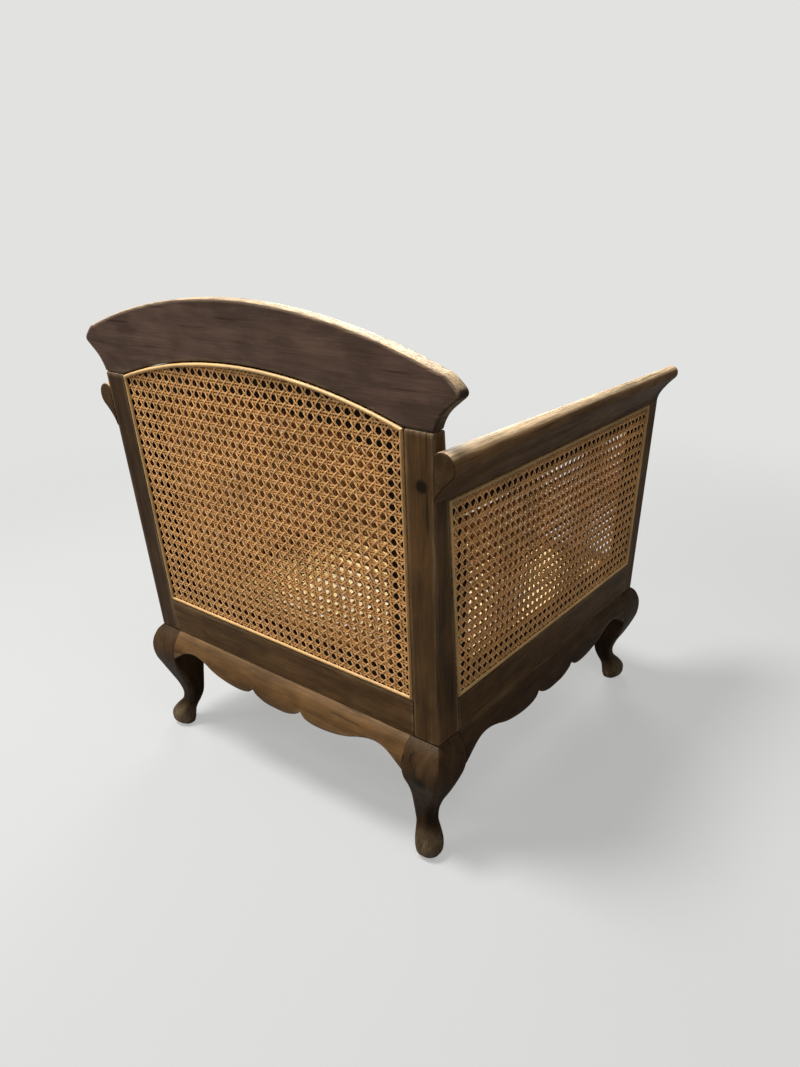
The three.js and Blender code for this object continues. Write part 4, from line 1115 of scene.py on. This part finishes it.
outer, inner, inner_reed_level = level_of(back_frame_thickness)
cane("back_cane_outer_woven", "back_cane_outer", mitred(back_outline(), cane_margin), back_pitch,
     (0.0, 0.0), outer, 1, on_back)
cane("back_cane_inner_woven", "back_cane_inner", back_inner, back_inner_pitch, back_inner_phase, inner, -1,
     on_back, shaded_cane, back_inner_strand, back_inner_skew, tight_pair)
side_outer_level, side_inner_level, side_reed_level = level_of(side_frame_thickness)
for side, carrier in sides.items():
    cane(f"side_cane_outer_{side}_woven", f"side_cane_outer_{side}", mitred(side_outline(), cane_margin),
         side_pitch, (0.0, 0.0), side_outer_level, 1, carrier)
    cane(f"side_cane_inner_{side}_woven", f"side_cane_inner_{side}", side_inner, side_inner_pitch,
         side_inner_phase, side_inner_level, -1, carrier, shaded_cane, side_inner_strand,
         side_inner_skew, tight_pair)

# %% [markdown]
# ## Split reeds
# A reed, rounded outside and flat beneath, is pinned over the edge of each sheet. It meets at
# the corners in mitres. Round the back it is four lengths, and elsewhere one length whose ends
# meet. A bevelled curve pinches at sharp corners, so the section is set at each point of the
# outline, and every line of it is mitred.

# %% Reeds
reed_flank, reed_steps = 0.15, 9       # where the rounding starts, in radians, and its points
round_turns = np.linspace(reed_flank, math.pi - reed_flank, reed_steps)
reed_section = [(0.0, 0.0), *((0.5 - 0.5 * math.cos(a), math.sin(a)) for a in round_turns), (1.0, 0.0)]
reed_tones = (0.5, 0.8)


def reed(name, node_name, outline, level, direction, carrier, first=None, last=None):
    """A rounded reed along an outline, as a closed loop or from one point of it to another."""
    outline = np.asarray(outline, float)
    lines = [mitred(outline, reed_inset + across * (reed_width - reed_inset)) for across, _ in reed_section]
    looped = first is None
    steps = list(range(len(outline))) if looped else [
        (first + n) % len(outline) for n in range((last - first) % len(outline) + 1)]
    points = []
    for n, i in enumerate(steps):
        for (across, rise), line in zip(reversed(reed_section), reversed(lines)):
            shift = np.zeros(2)
            if not looped and n in (0, len(steps) - 1):
                towards = outline[steps[1 if n == 0 else -2]] - outline[i]
                shift = towards / np.linalg.norm(towards) * gap / 2
            points.append((*(line[i] + shift), level + direction * rise * reed_height))
    faces = rings_to_faces(len(steps), len(reed_section), looped=looped)
    if direction < 0:
        faces = [tuple(reversed(f)) for f in faces]
    tone = np.full(len(points), rng.uniform(*reed_tones))
    finish_piece(name, points, faces, edge_reed, [node_name], carrier, {"tone": tone}, 60)


outer_loop = back_outline()
ends = {"bottom": (0, 1), "left": (1, 2), "top": (2, len(outer_loop) - 1), "right": (len(outer_loop) - 1, 0)}
outer_reed_level = gap - panel_recess
for place, (first, last) in ends.items():
    reed(f"back_reed_{place}_split", f"back_reed_{place}", outer_loop,
         outer_reed_level, 1, on_back, first, last)
reed("back_reed_inner_split", "back_reed_inner", back_inner, inner_reed_level, -1, on_back)
for side, carrier in sides.items():
    reed(f"side_reed_outer_{side}_split", f"side_reed_outer_{side}", side_outline(),
         outer_reed_level, 1, carrier)
    reed(f"side_reed_inner_{side}_split", f"side_reed_inner_{side}", side_inner,
         side_reed_level, -1, carrier)
print("reeds", len(ends) + 1 + 2 * len(sides))

# %% [markdown]
# ## Seat
# The seat is a loose frame that drops in between the posts and rails and rests on two cleats.
# Its cane lies on top, held at the edge by a reed. It gets more light than the panels do, and
# it is the paler cane that glows through the back.

# %% Seat cane and reed
seat_pitch, seat_strand = 14 * MM, 3 * MM
seat_low, seat_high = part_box("seat_cane")
seat_outline = np.array([(seat_low.x, seat_low.y), (seat_high.x, seat_low.y),
                         (seat_high.x, seat_high.y), (seat_low.x, seat_high.y)])
cane("seat_cane_woven", "seat_cane", seat_outline, (seat_pitch, seat_pitch), (0.0, 0.0),
     (seat_low.z + seat_high.z) / 2, 1, flat, seat_weave, seat_strand)
reed("seat_reed_split", "seat_reed", seat_outline, seat_high.z + gap, 1, flat)

# %% [markdown]
# ## Inner members
# The panel frames, the seat frame, the cleats and the corner blocks are plain sawn wood that
# shows only through the cane or from below. The CAD parts have the right shape, so they stay
# and get an unwaxed wood that is nearly black, which paints the shade they stand in. One
# modifier joins their doubled points, and another eases their edges.

# %% Inner wood
inner_grain = {"stile": "Z", "bottom_rail": "Y", "top_rail": "Y", "seat_frame_left": "Y",
               "seat_frame_right": "Y", "seat_frame_front": "X", "seat_frame_rear": "X",
               "cleat": "Y", "corner_block": "X"}
weld_reach, sawn_ease = 0.01 * MM, 0.8 * MM
kept = 0
for name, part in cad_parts.items():
    if part.hide_render:
        continue
    grain = next((g for key, g in inner_grain.items() if key in name), "Z")
    if name.startswith("back_panel") and "rail" in name:
        grain = "X"
    part.data.materials.clear()
    part.data.materials.append(woods["frame_" + grain])
    weld = part.modifiers.new("weld", "WELD")
    weld.merge_threshold = weld_reach
    eased = part.modifiers.new("eased", "BEVEL")
    eased.width, eased.segments, eased.limit_method = sawn_ease, 2, "ANGLE"
    kept += 1
print("CAD parts kept:", kept)
